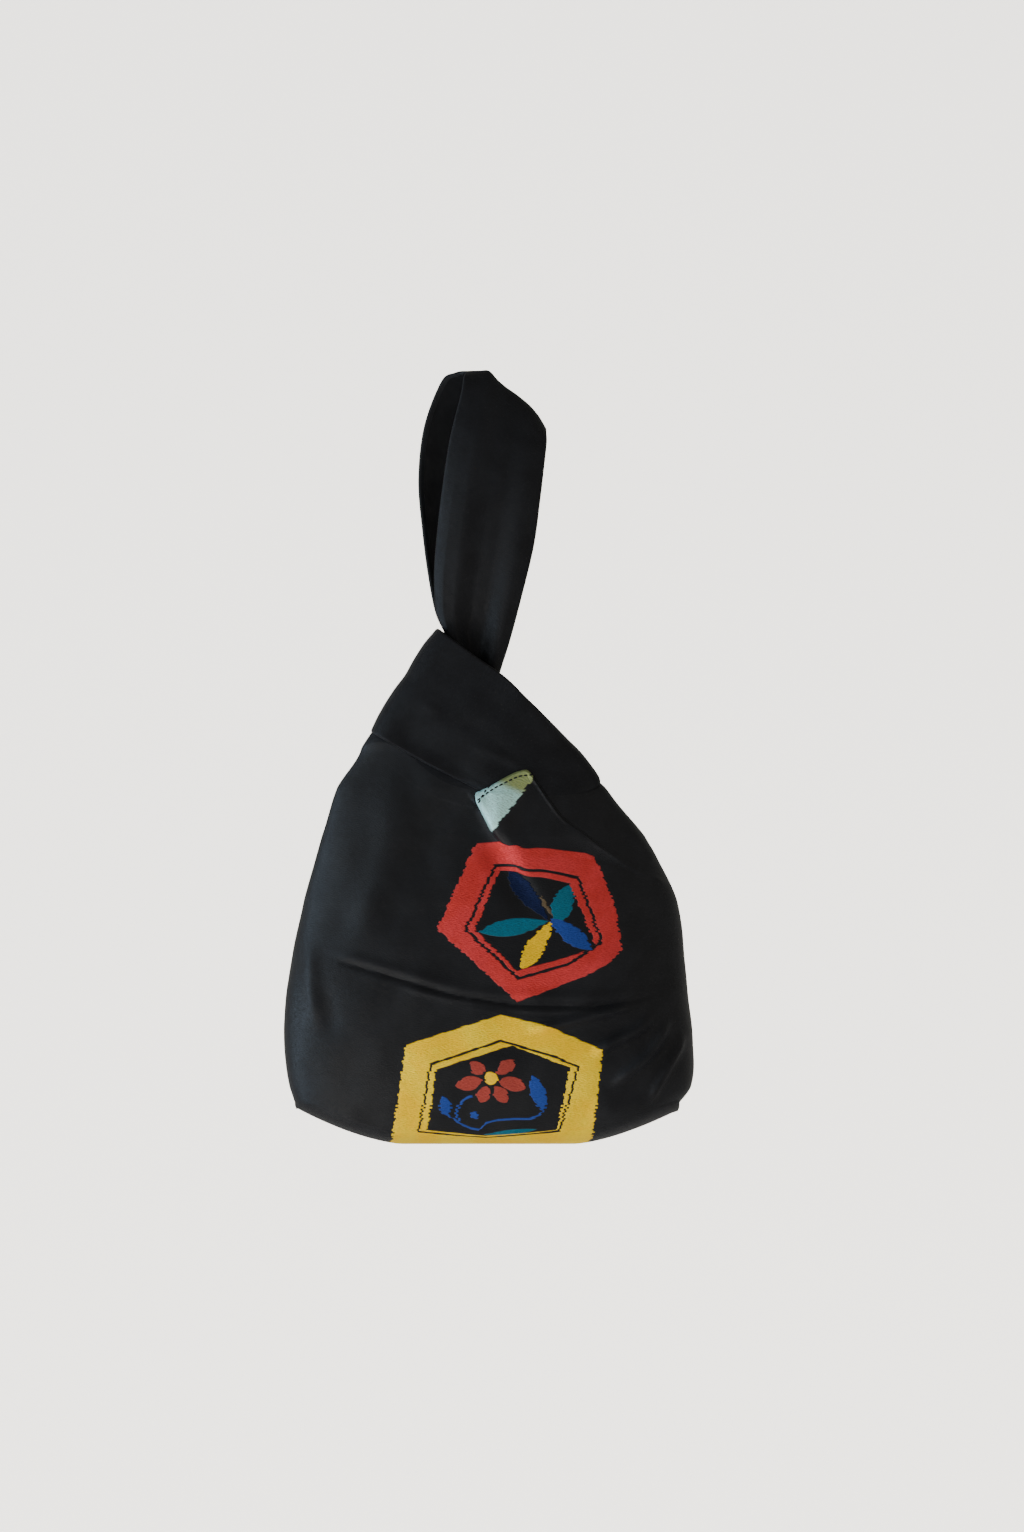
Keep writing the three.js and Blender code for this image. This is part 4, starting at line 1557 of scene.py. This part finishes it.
@dataclass(frozen=True)
class BlackThread:
    """Twisted black sewing thread."""

    name: str = "black_sewing_thread"
    low: Colour = (0.003, 0.003, 0.004)
    high: Colour = (0.010, 0.010, 0.012)
    twist: float = math.pi * 10
    roughness: float = 0.48

    def build(self) -> bpy.types.Material:
        """Makes the material.

        Returns:
            The finished material.
        """
        nodes = NodeMaker(self.name)
        _, across, along = nodes.map(THREAD_MAP)
        twist = ((across + along * 2.0) * self.twist).sine()
        colour = nodes.mix(twist.step(-1.0, 1.0), self.low, self.high)
        return nodes.finish(colour, twist * 0.05 + self.roughness, twist * 0.05, 1.0,
                            {"Specular IOR Level": 0.2})


class Finishes:
    """Every finish of the bag, made once."""

    def __init__(self) -> None:
        """Makes the materials."""
        self.front_satin = WovenSatin("front_woven_satin", (RED_HEXAGON, GOLD_HEXAGON),
                                      Vine()).build()
        self.base_satin = WovenSatin("base_woven_satin", (GOLD_HEXAGON,)).build()
        self.back_satin = WovenSatin("back_woven_satin", (RED_HEXAGON,)).build()
        self.plain_satin = WovenSatin("plain_black_satin", specular=0.15, sheen=0.004).build()
        self.lining = PlainCotton().build()
        self.patch = WovenSatin("neckline_woven_satin", (FOLDED_RED_HEXAGON,),
                                patch=GreenPatch()).build()
        self.thread = BlackThread().build()


# A hem's roll is no thicker than its leg's distance from the middle plane allows: this much
# and this share of the distance.
LEAST_ROLL, ROLL_SHARE = 0.25, 0.55
# The most of a row's length that a lining leaves free at each end.
MOST_MARGIN = 0.3


def turned_edges(grid: Array, radius: float, tuck: float, steps: int = 7) -> Array:
    """The grid with both side edges rolled inwards, as a hem is turned.

    Args:
        grid: Points of the outer surface, rows by columns.
        radius: Radius of the roll.
        tuck: How far the cloth runs back on the inside.
        steps: Points on the roll.

    Returns:
        The wider grid. Its widest part is where the given grid ended.
    """
    normals = grid_normals(grid)
    turn = np.linspace(0.0, math.pi, steps + 1)[1:]
    sides = []
    for edge, inner in ((0, 1), (-1, -2)):
        outward = grid[:, edge] - grid[:, inner]
        normal = normals[:, edge]
        outward -= np.sum(outward * normal, axis=1, keepdims=True) * normal
        outward = unit(outward)
        gap = np.abs(grid[:, edge, 1])
        size = np.minimum(radius, LEAST_ROLL + ROLL_SHARE * gap)[:, None]
        centre = grid[:, edge] - normal * size
        columns = [centre + size * (normal * math.cos(a) + outward * math.sin(a)) for a in turn]
        columns += [columns[-1] - outward * tuck * share for share in (0.5, 1.0)]
        sides.append(np.stack(columns, axis=1))
    return np.concatenate([sides[0][:, ::-1], grid, sides[1]], axis=1)


def inset(grid: Array, margin: float, depth: float) -> Array:
    """The grid moved inwards and made narrower.

    Args:
        grid: Points of the outer surface, rows by columns.
        margin: How much narrower it becomes at each side edge.
        depth: How far it moves inwards.

    Returns:
        The new grid, with as many rows and columns.
    """
    moved = grid - grid_normals(grid) * depth
    out = np.empty_like(moved)
    for j, row in enumerate(moved):
        along = lengths_along(row)
        edge = min(margin, along[-1] * MOST_MARGIN)
        out[j] = sampled(row, along, np.linspace(edge, along[-1] - edge, grid.shape[1]))
    return out


def lay_map(mesh: bpy.types.Mesh, name: str, values: Array) -> None:
    """Gives a mesh a map.

    Args:
        mesh: The mesh.
        name: The map's name.
        values: A pair of coordinates for each of the mesh's points.
    """
    corner = np.empty(len(mesh.loops), dtype=np.int32)
    mesh.loops.foreach_get("vertex_index", corner)
    at_corners = values.reshape(-1, 2)[corner].reshape(-1)
    mesh.uv_layers.new(name=name).data.foreach_set("uv", at_corners.astype(np.float32))


@dataclass
class Sheet:
    """One sheet of cloth, from its grid to its finished mesh.

    Attributes:
        name: The piece's name.
        grid: Points of its outer surface in millimetres, rows by columns.
        thickness: Thickness of the cloth, inwards.
        printed: Pattern coordinates of each point, or none for as seen from in front.
        smooth_angle: Edges sharper than this stay sharp, in degrees.
    """

    name: str
    grid: Array
    thickness: float
    printed: Array | None = None
    smooth_angle: float = 40.0

    def thread_coordinates(self) -> Array:
        """Distances across and along the cloth, in millimetres.

        Returns:
            The two distances of each point.
        """
        middle = self.grid.shape[1] // 2
        across = np.stack([lengths_along(row) for row in self.grid])
        across -= across[:, middle:middle + 1]
        along = lengths_along(self.grid[:, middle])[:, None] + np.zeros(self.grid.shape[:2])
        return np.stack([across, along], axis=-1)

    def flat_size(self) -> Triple:
        """Size of the cloth laid flat.

        Returns:
            Its width, length and area, in metres.
        """
        across = max(lengths_along(row)[-1] for row in self.grid)
        along = max(lengths_along(column)[-1] for column in self.grid.transpose(1, 0, 2))
        a = self.grid[1:, 1:] - self.grid[:-1, :-1]
        b = self.grid[1:, :-1] - self.grid[:-1, 1:]
        area = float(np.sum(np.linalg.norm(np.cross(a, b), axis=-1)) / 2)
        return across * MM, along * MM, area * MM * MM

    def make(self, material: bpy.types.Material) -> bpy.types.Object:
        """Lays the cloth out, gives it its thickness and dresses it.

        Args:
            material: Its finish.

        Returns:
            The finished piece.
        """
        rows, columns = self.grid.shape[:2]
        bpy.ops.object.select_all(action="DESELECT")
        bpy.ops.mesh.primitive_grid_add(x_subdivisions=columns - 1, y_subdivisions=rows - 1,
                                        size=1.0)
        piece = bpy.context.object
        piece.name = self.name
        mesh = piece.data
        mesh.name = self.name
        if len(mesh.vertices) != rows * columns:
            raise RuntimeError(f"{self.name}: {len(mesh.vertices)} points, not {rows * columns}")
        mesh.vertices.foreach_set("co", to_row(self.grid).reshape(-1).astype(np.float32))
        while mesh.uv_layers:
            mesh.uv_layers.remove(mesh.uv_layers[0])
        lay_map(mesh, PRINT_MAP, VIEW.seen(self.grid) if self.printed is None else self.printed)
        lay_map(mesh, THREAD_MAP, self.thread_coordinates())
        mesh.update()
        outward = grid_normals(self.grid)[rows // 2, columns // 2]
        index = (rows // 2) * (columns - 1) + columns // 2
        if np.dot(np.array(mesh.polygons[index].normal), outward) < 0:
            raise RuntimeError(f"{self.name}: the grid's faces point inwards")
        solid = piece.modifiers.new("thickness", "SOLIDIFY")
        solid.thickness = self.thickness * MM
        solid.offset = -1.0
        solid.use_rim = True
        bpy.ops.object.modifier_apply(modifier=solid.name)
        mesh.materials.clear()
        mesh.materials.append(material)
        bpy.ops.object.shade_smooth_by_angle(angle=math.radians(self.smooth_angle))
        return piece


def edge_roll(away: Array, height: Array, least: float = 0.3) -> Array:
    """Share of its height that a rolled edge has near the edge.

    Args:
        away: Distance from the edge.
        height: Full height, which is also the roll's radius.
        least: Least radius.

    Returns:
        The share at each distance.
    """
    part = np.clip(1 - away / np.maximum(height, least), 0.0, 1.0)
    return np.sqrt(1 - part**2)


class SeenCloth:
    """Surfaces as the camera sees them, for laying something on them."""

    def __init__(self, grids: Sequence[Array]) -> None:
        """Joins the grids into one surface.

        Args:
            grids: Points in millimetres, rows by columns.
        """
        points, faces, count = [], [], 0
        for grid in grids:
            rows, columns = grid.shape[:2]
            index = np.arange(rows * columns).reshape(rows, columns) + count
            quads = np.stack([index[:-1, :-1], index[:-1, 1:], index[1:, 1:], index[1:, :-1]], -1)
            points.append(grid.reshape(-1, 3))
            faces.append(quads.reshape(-1, 4))
            count += rows * columns
        self.tree = BVHTree.FromPolygons(np.concatenate(points).tolist(),
                                         np.concatenate(faces).tolist())
        self.eye = Vector((VIEW.centre_x, -VIEW.distance, VIEW.centre_height))

    def behind(self, spot: Sequence[float]) -> tuple[Vector | None, Vector | None]:
        """Point and normal of the surface behind a spot, or nothing."""
        aim = Vector((spot[0], 0.0, spot[1])) - self.eye
        return self.tree.ray_cast(self.eye, aim.normalized())[:2]


@dataclass(frozen=True)
class NecklineFold:
    """The pinched fold of the neckline, laid over the front from the side of the camera.

    Its two boundaries are given as seen from in front. Pairs of numbers give where a change
    starts and ends, as shares of its length from the left, or of its breadth from below.
    """

    upper: Line = (
        (-7.8, 216.6), (0.9, 220.7), (8.4, 225.1), (16.4, 229.2), (22.6, 230.9), (25.2, 230.0),
        (28.2, 226.4), (32.0, 221.0), (38.4, 211.4), (46.8, 200.9), (61.1, 190.3), (80.3, 175.5),
        (93.3, 168.0), (105.1, 162.4))
    lower: Line = (
        (-8.3, 215.0), (-7.6, 210.5), (-5.0, 205.2), (-1.7, 198.4), (2.0, 191.4), (6.5, 186.2),
        (11.8, 183.3), (17.7, 182.4), (30.0, 180.0), (60.0, 175.0), (87.7, 167.4), (105.0, 161.6))
    roll: float = 5.4
    top_roll: float = 3.0
    crease_height: float = 0.8
    bead: float = 1.0
    bead_place: float = 1.5
    bead_half: float = 1.1
    bead_starts: Pair = (0.20, 0.30)
    bead_ends: Pair = (0.32, 0.60)
    merge: Pair = (0.16, 0.34)
    thin: Pair = (0.16, 0.32)
    fade: Pair = (0.55, 1.0)
    swell: Pair = (0.05, 0.95)
    soft_run: float = 14.0
    sink: float = 0.5
    sink_radius: float = 1.5
    crowding: float = 1.15
    ease_passes: int = 60
    columns: int = 150
    rows: int = 80
    cloth: float = 1.0
    fineness: int = 400

    def boundary(self, line: Sequence[Pair], s: Array) -> Array:
        """Places on a boundary, at shares of its length."""
        path = respaced(through(line, np.linspace(0, 1, self.fineness // 2)), self.fineness)
        return sampled(path, np.linspace(0, 1, self.fineness), s)

    def bed(self, spots: Array, hosts: Sequence[Array]) -> Array:
        """Depth of the eased surface that the fold lies on, never behind the real one.

        Args:
            spots: Places as seen, rows by columns of x and height.
            hosts: Points of the surfaces below.

        Returns:
            The depth behind each spot.
        """
        cloth = SeenCloth(hosts)
        bare = np.zeros(spots.shape[:2])
        for index in np.ndindex(*bare.shape):
            hit = cloth.behind(spots[index])[0]
            bare[index] = hit.y if hit else 0.0
        depth = bare.copy()
        for _ in range(self.ease_passes):
            inner = depth.copy()
            inner[1:-1, 1:-1] = (depth[:-2, 1:-1] + depth[2:, 1:-1] + depth[1:-1, :-2]
                                 + depth[1:-1, 2:]) / 4
            depth = inner
        return np.minimum(depth, bare)

    def grid(self, hosts: Sequence[Array]) -> Array:
        """The fold's outer surface.

        Args:
            hosts: Points of the surfaces below.

        Returns:
            Points in millimetres, rows from its lower to its upper boundary.
        """
        s = np.linspace(0.0, 1.0, self.columns) ** self.crowding
        low, high = self.boundary(self.lower, s), self.boundary(self.upper, s)
        t = np.linspace(0.0, 1.0, self.rows)[:, None]
        spots = low[None] * (1 - t[..., None]) + high[None] * t[..., None]
        depth = self.bed(spots, hosts)
        reach = np.linalg.norm(high - low, axis=-1)[None]
        from_low, from_high = t * reach, (1 - t) * reach
        loose = (1 - smoothstep(s, *self.merge))[None]
        low_height = self.roll * loose
        high_height = self.top_roll + (self.crease_height - self.top_roll) * smoothstep(
            s, *self.thin)[None]
        high_height = high_height * (1 - smoothstep(s, *self.fade))[None]
        body = lerp(low_height, high_height, smoothstep(t, *self.swell))
        lift = body * edge_roll(from_high, body)
        lift = lift * lerp(smoothstep(from_low, 0.0, self.soft_run), edge_roll(from_low, body),
                           loose)
        piped = np.exp(-(((from_high - self.bead_place) / self.bead_half) ** 2))
        piped = piped * smoothstep(s, *self.bead_starts)[None]
        lift = lift + self.bead * piped * (1 - smoothstep(s, *self.bead_ends))[None]
        edge = np.minimum(from_low, from_high)
        lift = lift - self.sink * (1 - edge_roll(edge, self.sink_radius + 0 * lift))
        return VIEW.unseen(spots, depth - lift)


@dataclass(frozen=True)
class Stitching:
    """Rows of stitches, one bead modelled once and copied along each path."""

    name: str
    length: float = 2.5
    gap: float = 0.7
    radius: float = 0.5
    bluntness: float = 0.7
    sunk: float = 0.5
    above: float = 0.3
    probe: float = 0.6

    def bead(self) -> tuple[Array, list[list[int]]]:
        """One stitch along X, its ends sunk.

        Returns:
            Its points and its faces.
        """
        bpy.ops.object.select_all(action="DESELECT")
        bpy.ops.mesh.primitive_uv_sphere_add(segments=8, ring_count=6, radius=1.0)
        stitch = bpy.context.object
        points = np.array([v.co[:] for v in stitch.data.vertices])
        faces = [list(face.vertices) for face in stitch.data.polygons]
        bpy.data.objects.remove(stitch)
        points = points[:, [2, 0, 1]]
        blunt = np.abs(points[:, 0]) ** self.bluntness
        points[:, 0] = np.sign(points[:, 0]) * blunt * self.length / 2
        points[:, 1:] *= self.radius
        points[:, 2] -= self.sunk * self.radius * (2 * points[:, 0] / self.length) ** 4
        return points, faces

    def make(self, paths: Sequence[tuple[Array, Array]],
             material: bpy.types.Material) -> bpy.types.Object:
        """Sews the stitches.

        Args:
            paths: Points of each row in millimetres, with the cloth's outward normals.
            material: Finish of the thread.

        Returns:
            The finished piece.
        """
        bead, faces = self.bead()
        points, turned, uvs = [], [], []
        for path, normals in paths:
            along = lengths_along(path)
            count = max(int(along[-1] / (self.length + self.gap)), 1)
            for place in (np.arange(count) + 0.5) * along[-1] / count:
                spot, up = sampled(path, along, place), sampled(normals, along, place)
                ahead = unit(sampled(path, along, place + self.probe)
                             - sampled(path, along, place - self.probe))
                up = unit(up - (up @ ahead) * ahead)
                frame = np.stack([ahead, np.cross(up, ahead), up])
                first = sum(len(part) for part in points)
                points.append(spot + bead @ frame + up * self.radius * self.above)
                turned.extend([[first + k for k in face] for face in faces])
                uvs.append(np.stack([bead[:, 0] + place, bead[:, 1]], axis=-1))
        mesh = bpy.data.meshes.new(self.name)
        mesh.from_pydata(to_row(np.concatenate(points)).tolist(), [], turned)
        lay_map(mesh, THREAD_MAP, np.concatenate(uvs))
        mesh.materials.append(material)
        piece = bpy.data.objects.new(self.name, mesh)
        bpy.context.scene.collection.objects.link(piece)
        bpy.context.view_layer.objects.active = piece
        bpy.ops.object.select_all(action="DESELECT")
        piece.select_set(True)
        bpy.ops.object.shade_smooth()
        return piece


@dataclass(frozen=True)
class Bend:
    """Where a strap passes over from one body to the next, in millimetres above the base."""

    first: str
    second: str
    start: Triple
    end: Triple


@dataclass
class KnotBag:
    """The whole bag: it lays every sheet and binds those that ride on the pouch to its body.

    Lengths are in millimetres. An inset is how much narrower a lining is at each side, and how
    deep it lies. A skip keeps every second or third row and column for the lining. Counts are
    columns, then rows: foot and loop for the long strap, up to the nose for the keeper. Near the
    mouth edge, from split_column on, walls and keeper are evened out over the root's rows, as
    shares that set in along and across them.
    """

    finishes: Finishes
    cloth: float = 1.0
    strap_cloth: float = 0.7
    lining: float = 0.8
    hem_roll: float = 1.3
    hem_tuck: float = 3.0
    panel_inset: Pair = (3.0, 2.4)
    strap_inset: Pair = (2.2, 2.0)
    panel_columns: int = 200
    panel_rows: int = 180
    base_rows: int = 121
    base_free: int = 24
    base_fineness: int = 401
    panel_skip: int = 3
    strap_skip: int = 2
    strap_counts: tuple[int, int, int] = (97, 54, 300)
    keeper_counts: tuple[int, int] = (98, 74)
    split_column: int = 103
    root_rows: int = 22
    root_passes: int = 260
    root_near: float = 0.6
    root_ends: Pair = (0.10, 0.06)
    least_fill: float = 0.4
    back_print: Pair = (70.0, 40.0)
    handle_bend: Bend = Bend("handle", "pouch", (-3.15, 0, 312.63), (-17.45, 0, 293.37))
    keeper_bend: Bend = Bend("pouch", "keeper", (8, 0, 218.5), (-25, 0, 262.5))
    fold_counts: tuple[int, int, int, int] = (49, 54, 60, 80)
    stitch_fineness: int = 60
    stitch_lines: tuple[Line, ...] = (
        ((27.0, 227.6), (19.0, 226.6), (10.2, 222.6), (2.0, 218.2), (-7.0, 211.6)),
        ((1.6, 221.4), (-2.4, 216.8), (-6.4, 209.6)))

    def __post_init__(self) -> None:
        """Works out the walls and the keeper, which meet at the mouth."""
        self.walls = {side: self.wall_grid(side) for side in Side}
        self.keeper_grid = self.ease_keeper_root(KEEPER.grid(*self.keeper_counts))

    def wall_grid(self, side: Side) -> Array:
        """Points of one whole wall.

        Args:
            side: Front or back.

        Returns:
            Points in millimetres, rows from the base's rim up to the mouth edge.
        """
        v = np.linspace(0.0, 1.0, self.panel_rows + 1)
        across = np.linspace(0.0, 1.0, self.panel_columns + 1)
        u = np.stack([POUCH.even_shares(across, float(at)) for at in v])
        return POUCH.folded_wall(side, u, v[:, None] + np.zeros_like(u))

    def ease_keeper_root(self, keeper: Array) -> Array:
        """Evens out the hollow where the walls run up into the keeper, in both of them.

        Args:
            keeper: Points of the keeper.

        Returns:
            The keeper's points. The walls are changed in place.
        """
        reach, first = self.root_rows, self.split_column
        columns = keeper.shape[1]
        hold = smoothstep(np.linspace(0, 1, columns), 0.0, self.root_ends[0])
        hold = hold * smoothstep(np.linspace(1, 0, columns), 0.0, self.root_ends[1])
        rows = np.arange(2 * reach + 1)[:, None]
        near = smoothstep(reach - np.abs(rows - reach), 0, reach * self.root_near) * hold
        for side, ends in ((Side.FRONT, keeper), (Side.BACK, keeper[::-1])):
            wall = self.walls[side][:, first:]
            depth = np.concatenate([wall[-reach - 1:, :, 1], ends[1:reach + 1, :, 1]])
            for _ in range(self.root_passes):
                even = depth.copy()
                even[1:-1] = (depth[:-2] + depth[2:]) / 2
                depth = lerp(depth, even, near)
            wall[-reach - 1:, :, 1] = depth[:reach + 1]
            ends[:reach + 1, :, 1] = depth[reach:]
        return keeper

    def base_grid(self) -> tuple[Array, Array]:
        """The base, from its back rim to its front rim.

        Returns:
            Its points and their pattern coordinates, both in millimetres.
        """
        columns, rows = self.panel_columns + 1, self.base_rows
        u = POUCH.even_shares(np.linspace(0.0, 1.0, columns), 0.0)
        fine = np.linspace(-1.0, 1.0, self.base_fineness)
        fine = fine * np.abs(fine)
        along = lengths_along(POUCH.base(np.full_like(fine, 0.5), fine))
        across = np.interp(np.linspace(0.0, along[-1], rows), along, fine)
        across[rows // 2] = 0.0
        grid = POUCH.base(u[None, :], across[:, None])
        seen = VIEW.seen(grid[:1])
        run = np.concatenate([np.zeros((1, columns)),
                              np.cumsum(np.linalg.norm(np.diff(grid, axis=0), axis=-1), axis=0)])
        printed = np.stack([seen[..., 0] + 0 * run, seen[..., 1] - run], axis=-1)
        return grid[::-1], printed[::-1]

    def lay(self, sheet: Sheet, finish: bpy.types.Material, slot: str, nodes: Sequence[str],
            held: Hold, bend: Bend | None = None) -> None:
        """Args:
            sheet: The sheet.
            finish: Its material.
            slot: Material slot of the nodes that it replaces; not used.
            nodes: The nodes that it replaces.
            held: How it is held; not used.
            bend: Where it passes from body to body, or none where it rides on the pouch.
        """
        piece = sheet.make(finish)
        if bend:
            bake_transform(piece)
        else:
            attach(piece, "pouch")
        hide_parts(*nodes)
        width, length, area = sheet.flat_size()
        width = min(width, area / (self.least_fill * length))
        min(area, width * length)
        LOG.info("%s: cut %.0f by %.0f mm, %.1f square cm, %d faces", piece.name, width * 1000,
                 length * 1000, area * 1e4, len(piece.data.polygons))

    def lay_lined(self, sheet: Sheet, finish: bpy.types.Material, inner: Array,
                  nodes: Sequence[str], held: Hold, bend: Bend | None = None) -> None:
        """Lays one sheet of satin and the lining inside it.

        Args:
            sheet: The satin.
            finish: Its material.
            inner: Points of the lining's outer surface.
            nodes: Names of the frame's layered parts, without the word for the layer.
            held: How both are held.
            bend: Where they pass from body to body, or none.
        """
        outer = [f"{node}_{layer}" for node in nodes for layer in ("cloth", "interlining")]
        self.lay(sheet, finish, "satin_cloth", outer, held, bend)
        self.lay(Sheet(f"{sheet.name}_lining", inner, self.lining), self.finishes.lining,
                 "lining_cloth", [f"{node}_lining" for node in nodes], held, bend)

    def make_panels(self) -> None:
        """Front and back panels and their linings."""
        skip = self.panel_skip
        for side in Side:
            word, grid = side.name.lower(), self.walls[side]
            printed, satin = VIEW.seen(grid), self.finishes.front_satin
            if side is Side.BACK:
                across, up = self.back_print
                printed = np.stack([across - grid[..., 0], grid[..., 2] + up], axis=-1)
                grid, printed = grid[:, ::-1], printed[:, ::-1]
                satin = self.finishes.back_satin
            self.lay_lined(Sheet(f"{word}_panel", grid, self.cloth, printed), satin,
                           inset(grid[::skip, ::skip], *self.panel_inset), [f"pouch_{word}"],
                           Hold.HUNG)

    def make_base(self) -> None:
        """The boxed base and its lining."""
        grid, printed = self.base_grid()
        skip, free = self.panel_skip, self.base_free
        self.lay_lined(Sheet("base_panel", grid, self.cloth, printed), self.finishes.base_satin,
                       inset(grid[::skip, free:-free:skip], *self.panel_inset), ["base"],
                       Hold.STRETCHED)

    def make_strap(self, name: str, grid: Array, nodes: Sequence[str], held: Hold,
                   bend: Bend) -> None:
        """One strap, with turned edges, and its lining.

        Args:
            name: Its name.
            grid: Points of its outer surface between the hems.
            nodes: The frame's layered parts that it replaces.
            held: How it is held.
            bend: Where it passes from body to body.
        """
        skip = self.strap_skip
        hemmed = turned_edges(grid, self.hem_roll, self.hem_tuck)
        self.lay_lined(Sheet(name, hemmed, self.strap_cloth), self.finishes.plain_satin,
                       inset(grid[::skip, ::skip], *self.strap_inset), nodes, held, bend)

    def make_straps(self) -> None:
        """The long handle strap and the short keeper strap."""
        self.make_strap("handle_strap", STRAP.grid(*self.strap_counts),
                        ["handle_front", "handle_back", "yoke_front", "yoke_back"], Hold.HUNG,
                        self.handle_bend)
        self.make_strap("keeper_strap", self.keeper_grid, ["keeper_front", "keeper_back"],
                        Hold.FOLDED, self.keeper_bend)

    def make_neckline(self) -> None:
        """The pinched fold of the neckline, over panel and keeper, and its topstitches."""
        fold = NecklineFold()
        *counts, kept = self.fold_counts
        hosts = [self.walls[Side.FRONT], self.keeper_grid, STRAP.grid(*counts)[:kept]]
        sheet = Sheet("neckline_fold", fold.grid(hosts), fold.cloth)
        self.lay(sheet, self.finishes.patch, "woven_patch", ["neckline_pleat"], Hold.FOLDED)
        cloth, paths = SeenCloth([sheet.grid]), []
        for line in self.stitch_lines:
            spots = respaced(through(line, np.linspace(0, 1, self.stitch_fineness)),
                             self.stitch_fineness)
            hits = [(point[:], (normal if normal.y < 0 else -normal)[:])
                    for point, normal in map(cloth.behind, spots) if point]
            paths.append(tuple(np.array(rows) for rows in zip(*hits)))
        stitches = Stitching("neckline_topstitch").make(paths, self.finishes.thread)
        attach(stitches, "pouch")
        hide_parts("pleat_topstitch")
        LOG.info("neckline_topstitch: %d faces", len(stitches.data.polygons))


@dataclass(frozen=True)
class Lamp:
    """One square soft light that looks at the bag's middle."""

    name: str
    place: Triple
    size: float
    power: float
    colour: Colour
    middle: Triple = (0.02, 0.0, -0.24)

    def hang(self) -> None:
        """Adds the light."""
        aim = Vector(self.middle) - Vector(self.place)
        bpy.ops.object.light_add(type="AREA", location=self.place,
                                 rotation=aim.to_track_quat("-Z", "Y").to_euler())
        lamp = bpy.context.object
        lamp.name = self.name
        lamp.data.size = self.size
        lamp.data.energy = self.power
        lamp.data.color = self.colour


@dataclass(frozen=True)
class Studio:
    """Pale wall and floor, soft lights, and a pale room that only the camera sees."""

    wall: Colour = (0.80, 0.775, 0.735)
    wall_distance: float = 3.0
    floor_height: float = -1.5
    surface_size: float = 14.0
    glow: float = 2.3
    roughness: float = 0.9
    room_radius: float = 11.0
    air: tuple[float, float, float, float] = (1.0, 0.97, 0.88, 1.0)
    air_strength: float = 0.38
    lamps: tuple[Lamp, ...] = (
        Lamp("window_left", (-2.2, -0.35, -0.3), 1.2, 36.0, (0.60, 0.79, 1.0)),
        Lamp("window_high", (-1.9, -1.3, 0.4), 1.2, 17.0, (0.80, 0.91, 1.0)),
        Lamp("table_glow", (-0.8, -1.0, -1.3), 0.9, 14.0, (1.0, 0.97, 0.92)),
        Lamp("lamp_right", (1.7, -1.5, 0.5), 0.9, 2.0, (1.0, 0.88, 0.70)),
    )

    def surface(self, name: str, place: Triple, turn: Triple) -> bpy.types.Material:
        """Adds one large plain surface that isn't part of the bag.

        Args:
            name: Its name.
            place: Its middle.
            turn: Its rotation.

        Returns:
            Its paint.
        """
        bpy.ops.mesh.primitive_plane_add(size=self.surface_size, location=place, rotation=turn)
        plane = bpy.context.object
        plane.name = name
        nodes = NodeMaker(name + "_paint")
        cloudy = nodes.noise(nodes.make("ShaderNodeTexCoord", None, None, "Object"), 1.4, 3.0)
        colour = nodes.mix(cloudy, self.wall, darker(self.wall, 0.97))
        paint = nodes.finish(
            colour, self.roughness, cloudy * 0.2, 0.2,
            {"Emission Color": (*self.wall, 1.0), "Emission Strength": self.glow})
        plane.data.materials.append(paint)
        plane.visible_glossy = False
        return paint

    def room(self, paint: bpy.types.Material) -> None:
        """Adds the pale room round everything, which only the camera sees.

        Args:
            paint: Its material.
        """
        bpy.ops.mesh.primitive_uv_sphere_add(segments=48, ring_count=24, radius=self.room_radius)
        room = bpy.context.object
        room.name = "far_wall"
        room.data.materials.append(paint)
        for kind in ("diffuse", "glossy", "transmission", "volume_scatter", "shadow"):
            setattr(room, f"visible_{kind}", False)

    def build(self) -> None:
        """Adds the surroundings."""
        paint = self.surface("back_wall", (0.0, self.wall_distance, 0.0), (math.pi / 2, 0.0, 0.0))
        self.surface("floor", (0.0, 0.0, self.floor_height), (0.0, 0.0, 0.0))
        self.room(paint)
        for lamp in self.lamps:
            lamp.hang()
        world = bpy.data.worlds.new("room_air")
        bpy.context.scene.world = world
        world.use_nodes = True
        background = world.node_tree.nodes["Background"]
        background.inputs["Color"].default_value = self.air
        background.inputs["Strength"].default_value = self.air_strength


def main() -> None:
    """Builds the bag round its frame."""
    logging.basicConfig(level=logging.INFO, format="%(name)s %(message)s")
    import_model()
    VIEW.make_camera()
    Studio().build()
    bag = KnotBag(Finishes())
    bag.make_panels()
    bag.make_base()
    bag.make_straps()
    bag.make_neckline()


if __name__ == "__main__":
    main()
